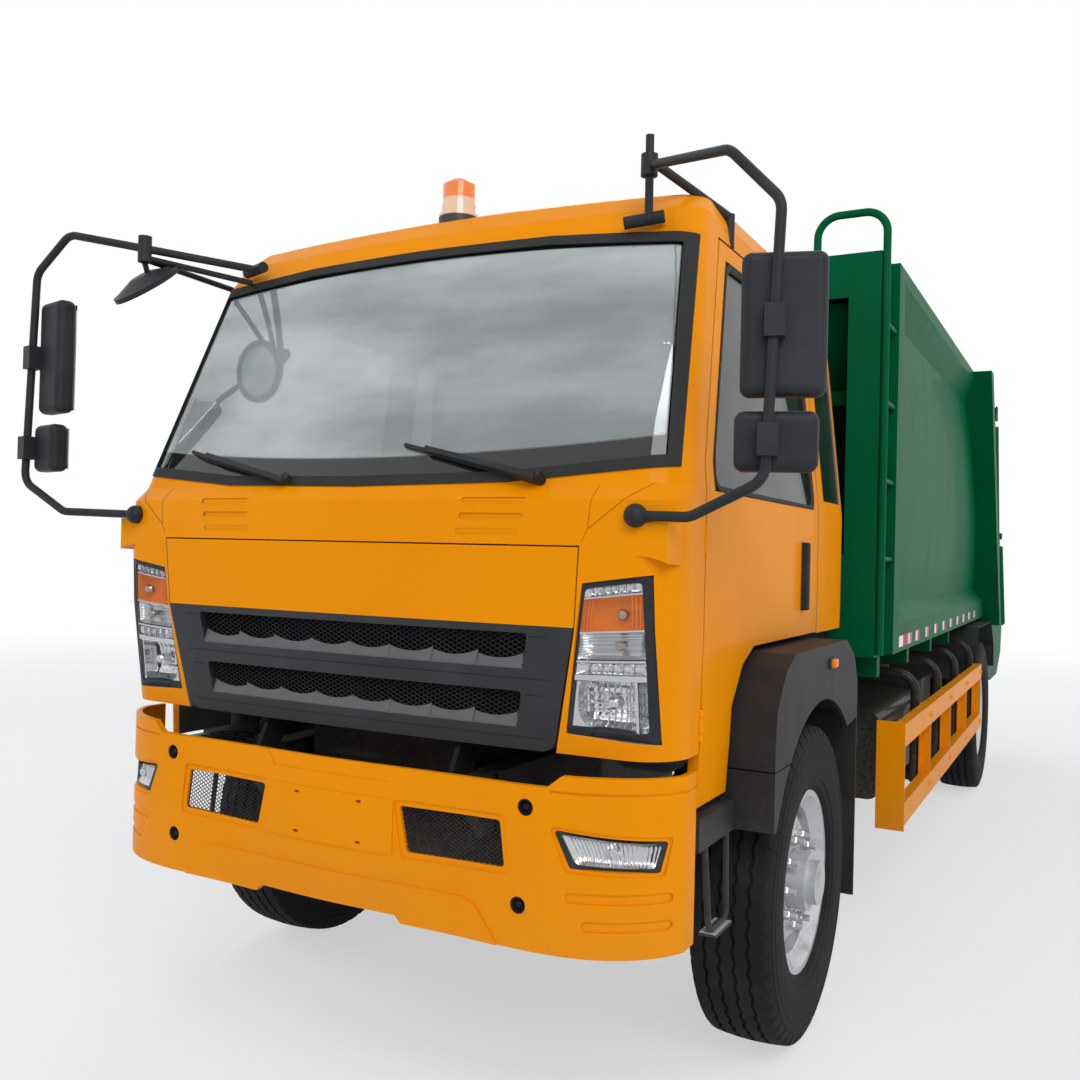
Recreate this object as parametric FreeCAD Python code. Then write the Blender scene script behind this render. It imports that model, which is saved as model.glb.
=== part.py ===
import FreeCAD, Part
import os
from math import sin, cos, tan, radians, pi, hypot

V = FreeCAD.Vector
os.makedirs("parts", exist_ok=True)

# Overall sizes, in millimetres.
# The model is laid out with y = 0 at the bumper's front face, running back, and z = 0 on the ground.
LENGTH = 7800
MIRROR_REACH = 1395
SEAT_GAP = 0.3
PANEL = 30

# Wheels and axles
TYRE_R = 509
TYRE_W = 259
RIM_R = 262
BEAD_W = 22
FRONT_AXLE_Y = 1156
WHEELBASE = 4450
REAR_AXLE_Y = FRONT_AXLE_Y + WHEELBASE
FRONT_WHEEL_X = 950
REAR_OUTER_X = 1040
TWIN_SPACING = 285
KINGPIN_X = 790
STEER_ARM = 200
HUB_R = 110
SPINDLE_R = 30
REAR_STUB_R = 45
REAR_STUB_X = 860
DRUM_R = 200
PIN_FIT = 0.4
STUD_COUNT = 10
STUD_PCD = 285.75
STUD_R = 11
HAND_HOLES = 10

# Chassis
ARCH_X = 1100
ARCH_R = TYRE_R + 86
ARCH_WALL = 12
GUARD_POSTS = (2735, 3435, 4135, 4880)
GUARD_POST_X = 1174
GUARD_TUBE_R = 22
RAIL_X = 430
RAIL_W = 75
RAIL_T = 8
RAIL_Z0 = 720
RAIL_Z1 = 950
RAIL_Y0 = 230
RAIL_Y1 = 6190
REAR_SPRING_HALF = 520
REAR_SPRING_EYE_Z = 700
REAR_SPRING_SAG = 20
REAR_LEAF = 14
REAR_LEAVES = 5
FRONT_SPRING_HALF = 620
FRONT_SPRING_EYE_Z = 668
FRONT_SPRING_SAG = 92
FRONT_LEAF = 12
FRONT_LEAVES = 3

# Cab
CAB_HALF = 978
CAB_SILL = 892
CAB_ARCH_Z = 1285
CAB_REAR_Y = 2000
BELT_Z = 1740
FLOOR_Z = 1150
FLOOR_T = 30
ROOF_Z = 2760
TILT_Y = 120
TILT_Z = 930
TILT_PIN_R = 14
DOOR_Y0 = 325
DOOR_Y1 = 1557
DOOR_GAP = 8
HINGE_R = 8
HINGE_PIN_R = 5
HINGE_LEVELS = (1120, 1610)

# Bumper
BUMPER_STEP = 5
BUMPER_LINE_Z = 966
BUMPER_BOLTS = ((624, 919), (609, 670))
BUMPER_BOLT_R = 22

# Front flap with hood panel and grille
FLAP_TOP_Z = 1583
HOOD_LOW_Z = 1374
GRILLE_LOW_Z = 1044
FLAP_TOP_X = 735
FLAP_MID_X = 722
FLAP_LOW_X = 655
HOOD_PIN_Y = 110
HOOD_PIN_Z = 1650
HOOD_ARM_X = 450
LIP = 4
SEAL_W = 15
SEAL_LIP = 5
BEACON_Y = 600
BEACON_Z = 2655
LIP_LOW_Z = 1538
LIP_HIGH_Z = 1646
PLENUM_LOW_Z = 1045

# Mirrors
BAR_R = 13
BALL_X = 884

# Container
BODY_Y0 = 2060
BODY_HALF = 1125
BODY_FLOOR_Z = 1170
BODY_TOP_Z = 2822
JOINT_TOP_Y = 5080
JOINT_LOW_Y = 6000
RING_DEPTH = 140
RING_HALF = 1235
WALL = 10
POST_Y0 = 2280
SIDE_Y0 = 2410
LEDGE_Z = 1297
SIDE_RECESS = 60
SIDE_BULGE = 38
LADDER_X = 1090
HOOP_Z = 2990

# Tailgate
GATE_HINGE_Y = 5330
GATE_HINGE_Z = 2880
GATE_HALF = 1120
GATE_LOW_Z = 640
CARRIAGE_STROKE = 600
BLADE_CLEAR = 76
BLADE_EARS = (-800, -300, 300, 800)
BLADE_EAR_R = 34
BLADE_PIN_R = 20
CARRIAGE_PIN_R = 24

JOINT_SLOPE = (JOINT_LOW_Y - JOINT_TOP_Y) / (BODY_TOP_Z - BODY_FLOOR_Z)


# Helpers

def box(x0, x1, y0, y1, z0, z1):
    return Part.makeBox(x1 - x0, y1 - y0, z1 - z0, V(x0, y0, z0))


def face_of(points):
    loop = [V(*p) for p in points]
    loop.append(loop[0])
    return Part.Face(Part.makePolygon(loop))


def rounded(points, radii):
    # the outline of flat points (x, z), each corner rounded by its radius
    count = len(points)
    corners = []
    for i in range(count):
        here = V(points[i][0], 0, points[i][1])
        before = V(points[i - 1][0], 0, points[i - 1][1]) - here
        after = V(points[(i + 1) % count][0], 0, points[(i + 1) % count][1]) - here
        half = before.getAngle(after) / 2
        back = radii[i] / tan(half)
        toward = (before.normalize() + after.normalize()).normalize()
        middle = here + toward * (radii[i] / sin(half) - radii[i])
        corners.append((here + before * back, middle, here + after * back))
    edges = []
    for i in range(count):
        start, middle, end = corners[i]
        edges.append(Part.Arc(start, middle, end).toShape())
        edges.append(Part.LineSegment(end, corners[(i + 1) % count][0]).toShape())
    return Part.Face(Part.Wire(edges))


def rounded_x(points, radii, x0, x1):
    face = rounded(points, radii)
    face.rotate(V(0, 0, 0), V(0, 0, 1), 90)
    face.translate(V(x0, 0, 0))
    return face.extrude(V(x1 - x0, 0, 0))


def rounded_y(points, radii, y0, y1):
    face = rounded(points, radii)
    face.translate(V(0, y0, 0))
    return face.extrude(V(0, y1 - y0, 0))


def prism_x(yz, x0, x1):
    return face_of([(x0, y, z) for y, z in yz]).extrude(V(x1 - x0, 0, 0))


def prism_y(xz, y0, y1):
    return face_of([(x, y0, z) for x, z in xz]).extrude(V(0, y1 - y0, 0))


def rod(a, b, r):
    a = V(*a)
    b = V(*b)
    return Part.makeCylinder(r, (b - a).Length, a, b - a)


def strip_x(a, b, t, x0, x1):
    # a flat strip between two (y, z) points, t thick, with rounded ends so that strips join cleanly
    (y0, z0), (y1, z1) = a, b
    n = hypot(y1 - y0, z1 - z0)
    u = ((y1 - y0) / n * t / 2, (z1 - z0) / n * t / 2)
    quad = [(y0 + u[1], z0 - u[0]), (y1 + u[1], z1 - u[0]), (y1 - u[1], z1 + u[0]), (y0 - u[1], z0 + u[0])]
    bits = [prism_x(quad, x0, x1), rod((x0, y0, z0), (x1, y0, z0), t / 2), rod((x0, y1, z1), (x1, y1, z1), t / 2)]
    return fuse(bits)


def ring_rod(a, b, r, r_in):
    return rod(a, b, r).cut(rod(a, b, r_in))


def flip(shape):
    return shape.mirror(V(0, 0, 0), V(1, 0, 0))


def fuse(shapes):
    return shapes[0].fuse(shapes[1:]).removeSplitter()


def group(shapes):
    solids = []
    for s in shapes:
        solids.extend(s.Solids)
    return Part.makeCompound(solids)


def bent_path(points, bend):
    pts = [V(*p) for p in points]
    edges = []
    start = pts[0]
    for i in range(1, len(pts) - 1):
        here = pts[i]
        u = (pts[i - 1] - here).normalize()
        w = (pts[i + 1] - here).normalize()
        half = u.getAngle(w) / 2
        reach = bend / tan(half)
        p1 = here + u * reach
        p2 = here + w * reach
        axis = (u + w).normalize()
        mid = here + axis * (bend / sin(half) - bend)
        edges.append(Part.LineSegment(start, p1).toShape())
        edges.append(Part.Arc(p1, mid, p2).toShape())
        start = p2
    edges.append(Part.LineSegment(start, pts[-1]).toShape())
    return Part.Wire(edges)


def bent_rod(points, bend, r):
    path = bent_path(points, bend)
    start = V(*points[0])
    aim = V(*points[1]) - start
    ring = Part.Wire(Part.makeCircle(r, start, aim))
    return path.makePipeShell([ring], True, False)


def slant_y(z):
    return JOINT_TOP_Y + (BODY_TOP_Z - z) * JOINT_SLOPE


def save(name, shape):
    moved = shape.copy()
    moved.translate(V(0, -LENGTH / 2, 0))
    moved.exportStep("parts/" + name + ".step")


# Wheels

def revolve_x(profile, x_sign):
    loop = [V(x * x_sign, r, 0) for x, r in profile]
    loop.append(loop[0])
    face = Part.Face(Part.makePolygon(loop))
    return face.revolve(V(0, 0, 0), V(1, 0, 0), 360)


def tyre_solid(side):
    half = TYRE_W / 2
    bead = RIM_R + 22
    profile = [
        (-half * 0.66, bead), (-half, bead + 90), (-half * 0.98, TYRE_R - 60),
        (-half * 0.84, TYRE_R - 8), (0, TYRE_R), (half * 0.84, TYRE_R - 8),
        (half * 0.98, TYRE_R - 60), (half, bead + 90), (half * 0.66, bead)]
    return revolve_x(profile, side)


def rim_solid(side, dish):
    half = TYRE_W * 0.36
    lip = RIM_R + 22 - SEAT_GAP
    well = RIM_R - 14
    face = dish
    profile = [
        (-half - 8, lip + 9), (-half, lip + 9), (-half, lip), (-half + BEAD_W, lip), (-half + 40, well),
        (half - 40, well), (half - BEAD_W, lip), (half, lip), (half, lip + 9), (half + 8, lip + 9),
        (half + 8, lip - 12), (half - 30, well - 12), (face * 0.55, well - 12), (face, 180), (face, 96),
        (face - 14, 96), (face - 14, 172), (face * 0.55 - 14, well - 24),
        (face * 0.55 - 20, well - 12), (-half + 30, well - 12), (-half - 8, lip - 12)]
    solid = revolve_x(profile, side)
    for i in range(HAND_HOLES):
        a = 2 * pi * (i + 0.5) / HAND_HOLES
        hole = Part.makeCylinder(24, 260, V(-130, cos(a) * 206, sin(a) * 206), V(1, 0, 0))
        solid = solid.cut(hole)
    return solid


def hub_solid(side, face, tail, reach, bore, drum):
    # barrel through the disc, a flange that the disc seats on, the brake drum behind it, ten studs with nuts
    flange = face - 14 - SEAT_GAP
    parts = [
        rod((side * (face - tail), 0, 0), (side * (face + 60), 0, 0), HUB_R - 16),
        rod((side * (flange - 18), 0, 0), (side * flange, 0, 0), 165),
        rod((side * (face + 60), 0, 0), (side * (face + 60 + reach), 0, 0), 70)]
    if drum:
        parts.append(rod((side * (flange - 92), 0, 0), (side * (flange - 18), 0, 0), DRUM_R))
    hub = fuse(parts).cut(rod((side * (face - tail - 10), 0, 0), (side * (face + 24), 0, 0), bore + PIN_FIT))
    studs = []
    for i in range(STUD_COUNT):
        a = 2 * pi * i / STUD_COUNT
        y = cos(a) * STUD_PCD / 2
        z = sin(a) * STUD_PCD / 2
        x = side * (face + SEAT_GAP)
        nut = rod((x, y, z), (x + side * 22, y, z), 16)
        stud = rod((x + side * 22, y, z), (x + side * 48, y, z), STUD_R)
        studs.append(fuse([nut, stud]))
    return group([hub] + studs)


def place_wheel(shape, x, y):
    moved = shape.copy()
    moved.translate(V(x, y, TYRE_R))
    return moved


def build_wheels():
    for side, tag in ((1, "left"), (-1, "right")):
        dish = 62
        save("tyre_front_" + tag, place_wheel(tyre_solid(side), side * FRONT_WHEEL_X, FRONT_AXLE_Y))
        rim = rim_solid(side, dish)
        hub = hub_solid(side, dish, 120, 30, SPINDLE_R, True)
        wheel = place_wheel(group([rim, hub]), side * FRONT_WHEEL_X, FRONT_AXLE_Y)
        save("rim_front_" + tag, wheel)
        inner_x = REAR_OUTER_X - TWIN_SPACING
        tyres = group([
            place_wheel(tyre_solid(side), side * REAR_OUTER_X, REAR_AXLE_Y),
            place_wheel(tyre_solid(side), side * inner_x, REAR_AXLE_Y)])
        save("tyres_rear_" + tag, tyres)
        outer_rim = rim_solid(-side, TWIN_SPACING / 2 - SEAT_GAP / 2)
        inner_rim = rim_solid(side, TWIN_SPACING / 2 - SEAT_GAP / 2)
        rims = group([
            place_wheel(outer_rim, side * REAR_OUTER_X, REAR_AXLE_Y),
            place_wheel(inner_rim, side * inner_x, REAR_AXLE_Y)])
        rear_hub = place_wheel(hub_solid(side, TWIN_SPACING / 2 + 14, 215, 60, REAR_STUB_R, False), side * inner_x, REAR_AXLE_Y)
        save("rims_rear_" + tag, group([rims, rear_hub]))


# Chassis

def container_base():
    sub = []
    for side in (1, -1):
        x0 = min(side * (RAIL_X - 60), side * RAIL_X)
        sub.append(box(x0, x0 + 60, BODY_Y0 + 60, 6150, RAIL_Z1, BODY_FLOOR_Z - 100))
    for y in range(BODY_Y0 + 200, 5900, 760):
        reach = 620 if abs(y + 30 - REAR_AXLE_Y) < 700 else BODY_HALF - 60
        sub.append(box(-reach, reach, y, y + 60, BODY_FLOOR_Z - 100, BODY_FLOOR_Z))
    return sub


def build_frame():
    x = RAIL_X - RAIL_W
    rail = fuse([box(RAIL_X - RAIL_T, RAIL_X, RAIL_Y0, RAIL_Y1, RAIL_Z0, RAIL_Z1),
                 box(x, RAIL_X, RAIL_Y0, RAIL_Y1, RAIL_Z0, RAIL_Z0 + RAIL_T),
                 box(x, RAIL_X, RAIL_Y0, RAIL_Y1, RAIL_Z1 - RAIL_T, RAIL_Z1)])
    parts = [rail, flip(rail)]
    inner = RAIL_X - RAIL_T
    for y in (RAIL_Y0, 2560, 3300, 4500, 5000, RAIL_Y1 - 70):
        parts.append(box(-inner, inner, y, y + 60, RAIL_Z0 + 110, RAIL_Z1 - 50))
    for x in (-RAIL_X, RAIL_X - 80):
        post = prism_x([(RAIL_Y0, RAIL_Z0 + 20), (RAIL_Y0 + 120, RAIL_Z0 + 20), (RAIL_Y0 + 120, RAIL_Z1),
                        (TILT_Y + 26, TILT_Z + 20), (TILT_Y - 26, TILT_Z + 20), (TILT_Y - 26, TILT_Z - 40)],
                       x + 20, x + 60)
        pin_hole = rod((x, TILT_Y, TILT_Z), (x + 80, TILT_Y, TILT_Z), TILT_PIN_R + PIN_FIT)
        parts.append(post.cut(pin_hole))
    for side in (1, -1):
        x = min(side * 365, side * 435)
        for y in (FRONT_AXLE_Y - FRONT_SPRING_HALF, FRONT_AXLE_Y + FRONT_SPRING_HALF):
            parts.append(box(x + 5, x + 65, y - 45, y + 45, FRONT_SPRING_EYE_Z + FRONT_LEAF, RAIL_Z0))
        for y in (REAR_AXLE_Y - REAR_SPRING_HALF, REAR_AXLE_Y + REAR_SPRING_HALF):
            parts.append(box(x + 5, x + 65, y - 40, y + 40, REAR_SPRING_EYE_Z + REAR_LEAF + SEAT_GAP, RAIL_Z0))
        x0 = min(side * 380, side * 420)
        stay = box(x0, x0 + 40, 30, RAIL_Y0, 700, 740)
        plate = box(x0 - 30, x0 + 70, RAIL_Y0 - 12, RAIL_Y0, 690, 760)
        skin = Part.Face(bumper_plan(0)).extrude(V(0, 0, 2000)).cut(
            Part.Face(bumper_plan(22 + SEAT_GAP)).extrude(V(0, 0, 2000)))
        parts += [stay.cut(skin), plate]
    save("chassis_frame", fuse(parts))


def build_engine():
    block = box(-300, 300, 420, 1900, 600, 1060)
    gearbox = rod((0, 1900, 760), (0, 2500, 760), 150)
    shaft = rod((0, 2500, 760), (0, REAR_AXLE_Y - 410, 560), 50)
    radiator = box(-300, 300, 300, 420, 640, 1080)
    rail_face = RAIL_X - RAIL_T
    mounts = [box(-rail_face, rail_face, y, y + 70, 790, 850) for y in (700, 1600)]
    save("power_train", fuse([block, gearbox, shaft, radiator] + mounts))


def leaf_pack(y_mid, half, z_end, sag, t, count, x):
    leaves = []
    for i in range(count):
        reach = half * (1 - 0.22 * i)
        drop = sag * (reach / half) ** 2
        z_mid = z_end - sag - t * i
        z_tip = z_mid + drop
        a0 = V(x, y_mid - reach, z_tip)
        a1 = V(x, y_mid, z_mid)
        a2 = V(x, y_mid + reach, z_tip)
        lift = V(0, 0, t)
        low = Part.Arc(a0, a1, a2).toShape()
        top = Part.Arc(a0 + lift, a1 + lift, a2 + lift).toShape()
        e0 = Part.LineSegment(a0, a0 + lift).toShape()
        e1 = Part.LineSegment(a2, a2 + lift).toShape()
        face = Part.Face(Part.Wire([low, e1, top, e0]))
        leaves.append(face.extrude(V(70, 0, 0)))
    return fuse(leaves)


def build_axles():
    y = FRONT_AXLE_Y
    seat_top = FRONT_SPRING_EYE_Z - FRONT_SPRING_SAG - FRONT_LEAF * (FRONT_LEAVES - 1) - SEAT_GAP
    beam = prism_y([(-KINGPIN_X, 460), (-500, 400), (500, 400), (KINGPIN_X, 460),
                    (KINGPIN_X, 540), (460, 480), (-460, 480), (-KINGPIN_X, 540)], y - 35, y + 35)
    front = [beam]
    for side in (1, -1):
        x0 = min(side * 360, side * 440)
        front.append(Part.makeCylinder(38, 140, V(side * KINGPIN_X, y, 440)))
        front.append(box(x0, x0 + 80, y - 70, y + 70, 470, seat_top))
    axle = fuse(front)
    for side in (1, -1):
        axle = axle.cut(Part.makeCylinder(18 + PIN_FIT, 200, V(side * KINGPIN_X, y, 420)))
    y = REAR_AXLE_Y
    seat_top = REAR_SPRING_EYE_Z - REAR_SPRING_SAG - REAR_LEAF * (REAR_LEAVES - 1) - SEAT_GAP
    rear = [rod((-620, y, TYRE_R), (620, y, TYRE_R), 68), rod((-95, y, TYRE_R), (95, y, TYRE_R), 205),
            rod((0, y - 400, TYRE_R + 22), (0, y, TYRE_R + 22), 88),
            rod((-REAR_STUB_X, y, TYRE_R), (REAR_STUB_X, y, TYRE_R), REAR_STUB_R)]
    for side in (1, -1):
        x0 = min(side * 360, side * 440)
        rear.append(box(x0, x0 + 80, y - 70, y + 70, 560, seat_top))
    save("axles", group([axle, fuse(rear)]))
    springs = []
    for side in (1, -1):
        x = min(side * 365, side * 435)
        springs.append(leaf_pack(FRONT_AXLE_Y, FRONT_SPRING_HALF, FRONT_SPRING_EYE_Z, FRONT_SPRING_SAG,
                                 FRONT_LEAF, FRONT_LEAVES, x))
        springs.append(leaf_pack(REAR_AXLE_Y, REAR_SPRING_HALF, REAR_SPRING_EYE_Z, REAR_SPRING_SAG,
                                 REAR_LEAF, REAR_LEAVES, x))
    save("leaf_springs", group(springs))


def build_steering():
    # the arms run straight back, so that the tie rod stays parallel to the axle
    for side, tag in ((1, "left"), (-1, "right")):
        bits = [box(-55, 66, -40, 40, 586, 606), box(-55, 66, -40, 40, 414, 434), box(44, 62, -60, 60, 414, 606),
                rod((60, 0, TYRE_R), (190, 0, TYRE_R), SPINDLE_R), box(-15, 15, -40, STEER_ARM + 22, 414, 434),
                Part.makeCylinder(12, 60, V(0, STEER_ARM, 430)), Part.makeCylinder(18, 192, V(0, 0, 414))]
        knuckle = fuse(bits if side > 0 else [flip(b) for b in bits])
        knuckle.translate(V(side * KINGPIN_X, FRONT_AXLE_Y, 0))
        save("knuckle_" + tag, knuckle)
    y = FRONT_AXLE_Y + STEER_ARM
    link = rod((-KINGPIN_X + 20, y, 460), (KINGPIN_X - 20, y, 460), 14)
    rings = [Part.makeCylinder(26, 28, V(x, y, 446)) for x in (-KINGPIN_X, KINGPIN_X)]
    link = fuse([link] + rings)
    for x in (-KINGPIN_X, KINGPIN_X):
        link = link.cut(Part.makeCylinder(12 + PIN_FIT, 80, V(x, y, 420)))
    save("tie_rod", link)


def bumper_plan(inset):
    half = 985 - inset
    side_y = 295
    pts = [V(-half, side_y, 0), V(-half, 225, 0), V(-0.955 * half, 150 + inset * 0.4, 0),
           V(-0.86 * half, 70 + inset, 0), V(-0.45 * half, 16 + inset, 0), V(0, inset, 0),
           V(0.45 * half, 16 + inset, 0), V(0.86 * half, 70 + inset, 0), V(0.955 * half, 150 + inset * 0.4, 0),
           V(half, 225, 0), V(half, side_y, 0)]
    curve = Part.BSplineCurve()
    curve.interpolate(pts[1:-1])
    e0 = Part.LineSegment(pts[0], pts[1]).toShape()
    e1 = Part.LineSegment(pts[-2], pts[-1]).toShape()
    e2 = Part.LineSegment(pts[-1], pts[0]).toShape()
    return Part.Wire([e0, curve.toShape(), e1, e2])


BUMPER_INLET = [(238, 872), (550, 876), (566, 757), (265, 750)]
BUMPER_FOG = [(699, 872), (952, 848), (938, 770), (743, 779)]


def bumper_skin(depth, z0, z1):
    face = Part.Face(bumper_plan(depth)).extrude(V(0, 0, z1 - z0))
    face.translate(V(0, 0, z0))
    return face


def grown(points, by):
    # a convex outline moved outwards, each corner along its own direction from the middle
    mid_x = sum(p[0] for p in points) / len(points)
    mid_z = sum(p[1] for p in points) / len(points)
    return [(x + (by if x > mid_x else -by), z + (by if z > mid_z else -by)) for x, z in points]


def bumper_relief(z0, z1):
    # what is pressed into the face: rims of the openings, corner grooves, bolt pockets, the top centre
    deep = bumper_skin(-1, z0 - 1, z1 + 1).cut(bumper_skin(BUMPER_STEP + 4, z0 - 2, z1 + 2))
    shapes = [rounded_y(grown(BUMPER_INLET, 16), [14] * 4, -50, 400), rounded_y(grown(BUMPER_FOG, 10), [12] * 4, -50, 400)]
    for x0, z in ((735, 708), (776, 640)):
        shapes.append(rounded_y([(x0, z + 13), (962, z + 13), (962, z - 13), (x0, z - 13)], [12] * 4, -50, 400))
    cuts = [deep.common(shape) for shape in shapes]
    for x, z in BUMPER_BOLTS:
        cuts.append(rod((x, -50, z), (x, 130, z), BUMPER_BOLT_R))
    both = cuts + [flip(c) for c in cuts]
    top = prism_y([(-250, z1), (-204, BUMPER_LINE_Z - 34), (204, BUMPER_LINE_Z - 34), (250, z1)], -50, 400)
    both.append(deep.common(top))
    groove = bumper_skin(-1, z0, z1).cut(bumper_skin(BUMPER_STEP + 3, z0 - 1, z1 + 1))
    line = box(690, 1000, -50, 400, BUMPER_LINE_Z - 3, BUMPER_LINE_Z + 3).common(groove)
    return both + [line, flip(line)]


def build_bumper():
    z0 = 560
    z1 = 1006
    shell = bumper_skin(BUMPER_STEP, z0, z1)
    band = prism_y([(-556, z0 - 5), (-482, 650), (-446, 664), (446, 664), (482, 650), (556, z0 - 5)], -50, 400)
    plate = rounded_y([(-222, 886), (222, 886), (222, 736), (-222, 736)], [10] * 4, -50, 400)
    shell = fuse([shell, bumper_skin(0, z0, z1).common(band), bumper_skin(BUMPER_STEP - 3, z0, z1).common(plate)])
    shell = shell.cut(bumper_skin(22, z0 - 10, z1 + 10))
    front_cut = prism_y([(-725, z1 + 5), (-680, z1 - 32), (680, z1 - 32), (725, z1 + 5)], -50, 400)
    low_cut = prism_y([(-262, z0 - 5), (-238, z0 + 20), (238, z0 + 20), (262, z0 - 5)], -50, 400)
    shell = shell.cut(front_cut).cut(low_cut)
    windows = rounded_y(BUMPER_INLET, [10] * 4, -50, 400)
    fogs = rounded_y(BUMPER_FOG, [8] * 4, -50, 400)
    shell = shell.cut(windows).cut(flip(windows)).cut(fogs).cut(flip(fogs))
    slots = []
    for x in (-110, 110):
        for z in (756, 868):
            slots.append(rounded_y([(x - 9, z + 4), (x + 9, z + 4), (x + 9, z - 4), (x - 9, z - 4)],
                                   [3.5] * 4, -50, 60))
    shell = shell.cut(bumper_relief(z0, z1) + slots)
    save("bumper", shell.removeSplitter())
    skin = bumper_skin(BUMPER_STEP + 6, z0, z1).cut(bumper_skin(BUMPER_STEP + 12, z0 - 1, z1 + 1))
    mesh = skin.common(rounded_y(grown(BUMPER_INLET, -0.5), [10] * 4, -50, 400))
    save("bumper_mesh", group([mesh, flip(mesh)]))
    deep = bumper_skin(BUMPER_STEP + 5, z0, z1).cut(bumper_skin(60, z0 - 1, z1 + 1))
    lamp = deep.common(rounded_y(grown(BUMPER_FOG, -0.5), [8] * 4, -50, 400))
    save("fog_lamps", group([lamp, flip(lamp)]))


def arch_hollow():
    # the round opening about the front wheel, and the wider hollow behind the arch's face
    wheel = Part.makeCylinder(ARCH_R, 500, V(700, FRONT_AXLE_Y, TYRE_R), V(1, 0, 0))
    room = Part.makeCylinder(ARCH_R + 130, 400 - ARCH_WALL, V(ARCH_X - 400, FRONT_AXLE_Y, TYRE_R), V(1, 0, 0))
    return wheel.fuse(room.common(box(600, ARCH_X, 604 + ARCH_WALL, 1700 - ARCH_WALL, 0, 1400)))


def build_steps():
    bits = []
    stirrups = []
    arches = []
    flaps = []
    for side in (1, -1):
        tray = box(700, 985, 310, 600, 790, 876)
        tray = tray.cut(box(720, 965, 330, 580, 700, 866))
        slots = []
        for i in range(5):
            for j in range(3):
                slots.append(box(735 + j * 78, 795 + j * 78, 345 + i * 46, 369 + i * 46, 700, 900))
        tray = tray.cut(Part.makeCompound(slots))
        stay = box(RAIL_X, 700, 420, 480, 800, 850)
        solid = fuse([tray, stay])
        bits.append(solid if side > 0 else flip(solid))
        path = [(975, 380, 800), (985, 400, 560), (985, 545, 560), (975, 560, 800)]
        bar = bent_rod(path, 30, 9).cut(box(700, 985, 310, 600, 790, 876))
        tread = box(955, 1005, 405, 540, 544, 551)
        hung = fuse([bar.cut(box(900, 1100, 300, 640, 790, 900)), tread])
        stirrups.append(hung if side > 0 else flip(hung))
        arch = box(830, ARCH_X, 604, 800, 790, 958).cut(arch_hollow())
        link = box(830, 985, 600, 604, 790, 876)
        low = fuse([arch, link])
        arches.append(low if side > 0 else flip(low))
        flap = box(830, 1085, 1760, 1772, 300, 1120)
        bracket = box(RAIL_X, 1080, 1772, 1800, 880, 925)
        flaps.append(flap if side > 0 else flip(flap))
        arches.append(bracket if side > 0 else flip(bracket))
    save("steps", group(bits + stirrups))
    save("lower_arches", group(arches))
    return flaps


def build_tanks():
    tank = box(560, 1060, 2420, 3420, 520, 900)
    tank = tank.makeFillet(60, [e for e in tank.Edges if abs(e.BoundBox.YLength - 1000) < 1])
    straps = []
    for y in (2600, 3240):
        straps.append(box(RAIL_X, 560, y, y + 60, 740, 860))
    boxes = [fuse([tank] + straps)]
    battery = box(-1000, -560, 2420, 2980, 560, 900)
    shelf = box(-560, -RAIL_X, 2500, 2560, 740, 860)
    boxes.append(fuse([battery, shelf]))
    air = rod((-800, 3200, 720), (-800, 4100, 720), 140)
    holder = box(-700, -RAIL_X, 3600, 3660, 740, 860)
    boxes.append(fuse([air, holder]))
    oil = box(580, 1000, 3700, 4300, 560, 900)
    holder = box(RAIL_X, 580, 3960, 4020, 740, 860)
    boxes.append(fuse([oil, holder]))
    save("tanks_and_boxes", group(boxes))


def build_guards():
    y0 = 2035
    y1 = 4930
    solids = []
    hung = []
    for side in (1, -1):
        bits = [box(1112, 1222, y0 - 6, y0, 498, 927)]
        for z in (830, 520):
            bits.append(box(1216, 1222, y0, y1, z, z + 90))
            bits.append(box(1180, 1222, y0, y1, z, z + 6))
            bits.append(box(1180, 1222, y0, y1, z + 84, z + 90))
        for y in GUARD_POSTS:
            bits.append(box(GUARD_POST_X, 1180, y - 35, y + 35, 520, 920))
            bits.append(box(GUARD_POST_X, 1222, y - 5, y + 1, 610, 830))
            x = GUARD_POST_X - GUARD_TUBE_R - SEAT_GAP
            tube = bent_rod([(x, y, 560), (x, y, 1050), (RAIL_X + 40, y, 1050)], 90, GUARD_TUBE_R)
            bar = fuse([tube, box(RAIL_X, RAIL_X + 60, y - 30, y + 30, 820, 1066)])
            hung.append(bar if side > 0 else flip(bar))
        guard = fuse(bits)
        solids.append(guard if side > 0 else flip(guard))
    save("side_guards", group(solids))
    save("guard_brackets", group(hung))


def build_mudguards(flaps):
    # flat-topped sheet over each pair of twin wheels, carried by two tubes from the rail
    y = REAR_AXLE_Y
    line = [(y - 596, 800), (y - 596, 1030), (y - 496, 1140), (y + 334, 1140), (y + 404, 1098), (y + 579, 960),
            (y + 594, 800)]
    solids = []
    for side in (1, -1):
        sheets = []
        for (a, b) in zip(line[:-1], line[1:]):
            sheets.append(strip_x(a, b, 6, 640, 1185))
        tubes = [rod((RAIL_X, y - 592, 880), (1150, y - 592, 880), 14),
                 rod((RAIL_X, y + 572, 920), (1150, y + 572, 920), 14)]
        arch = fuse(sheets + tubes)
        solids.append(arch if side > 0 else flip(arch))
    save("mudguards", group(flaps + solids))


# Cab

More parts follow.
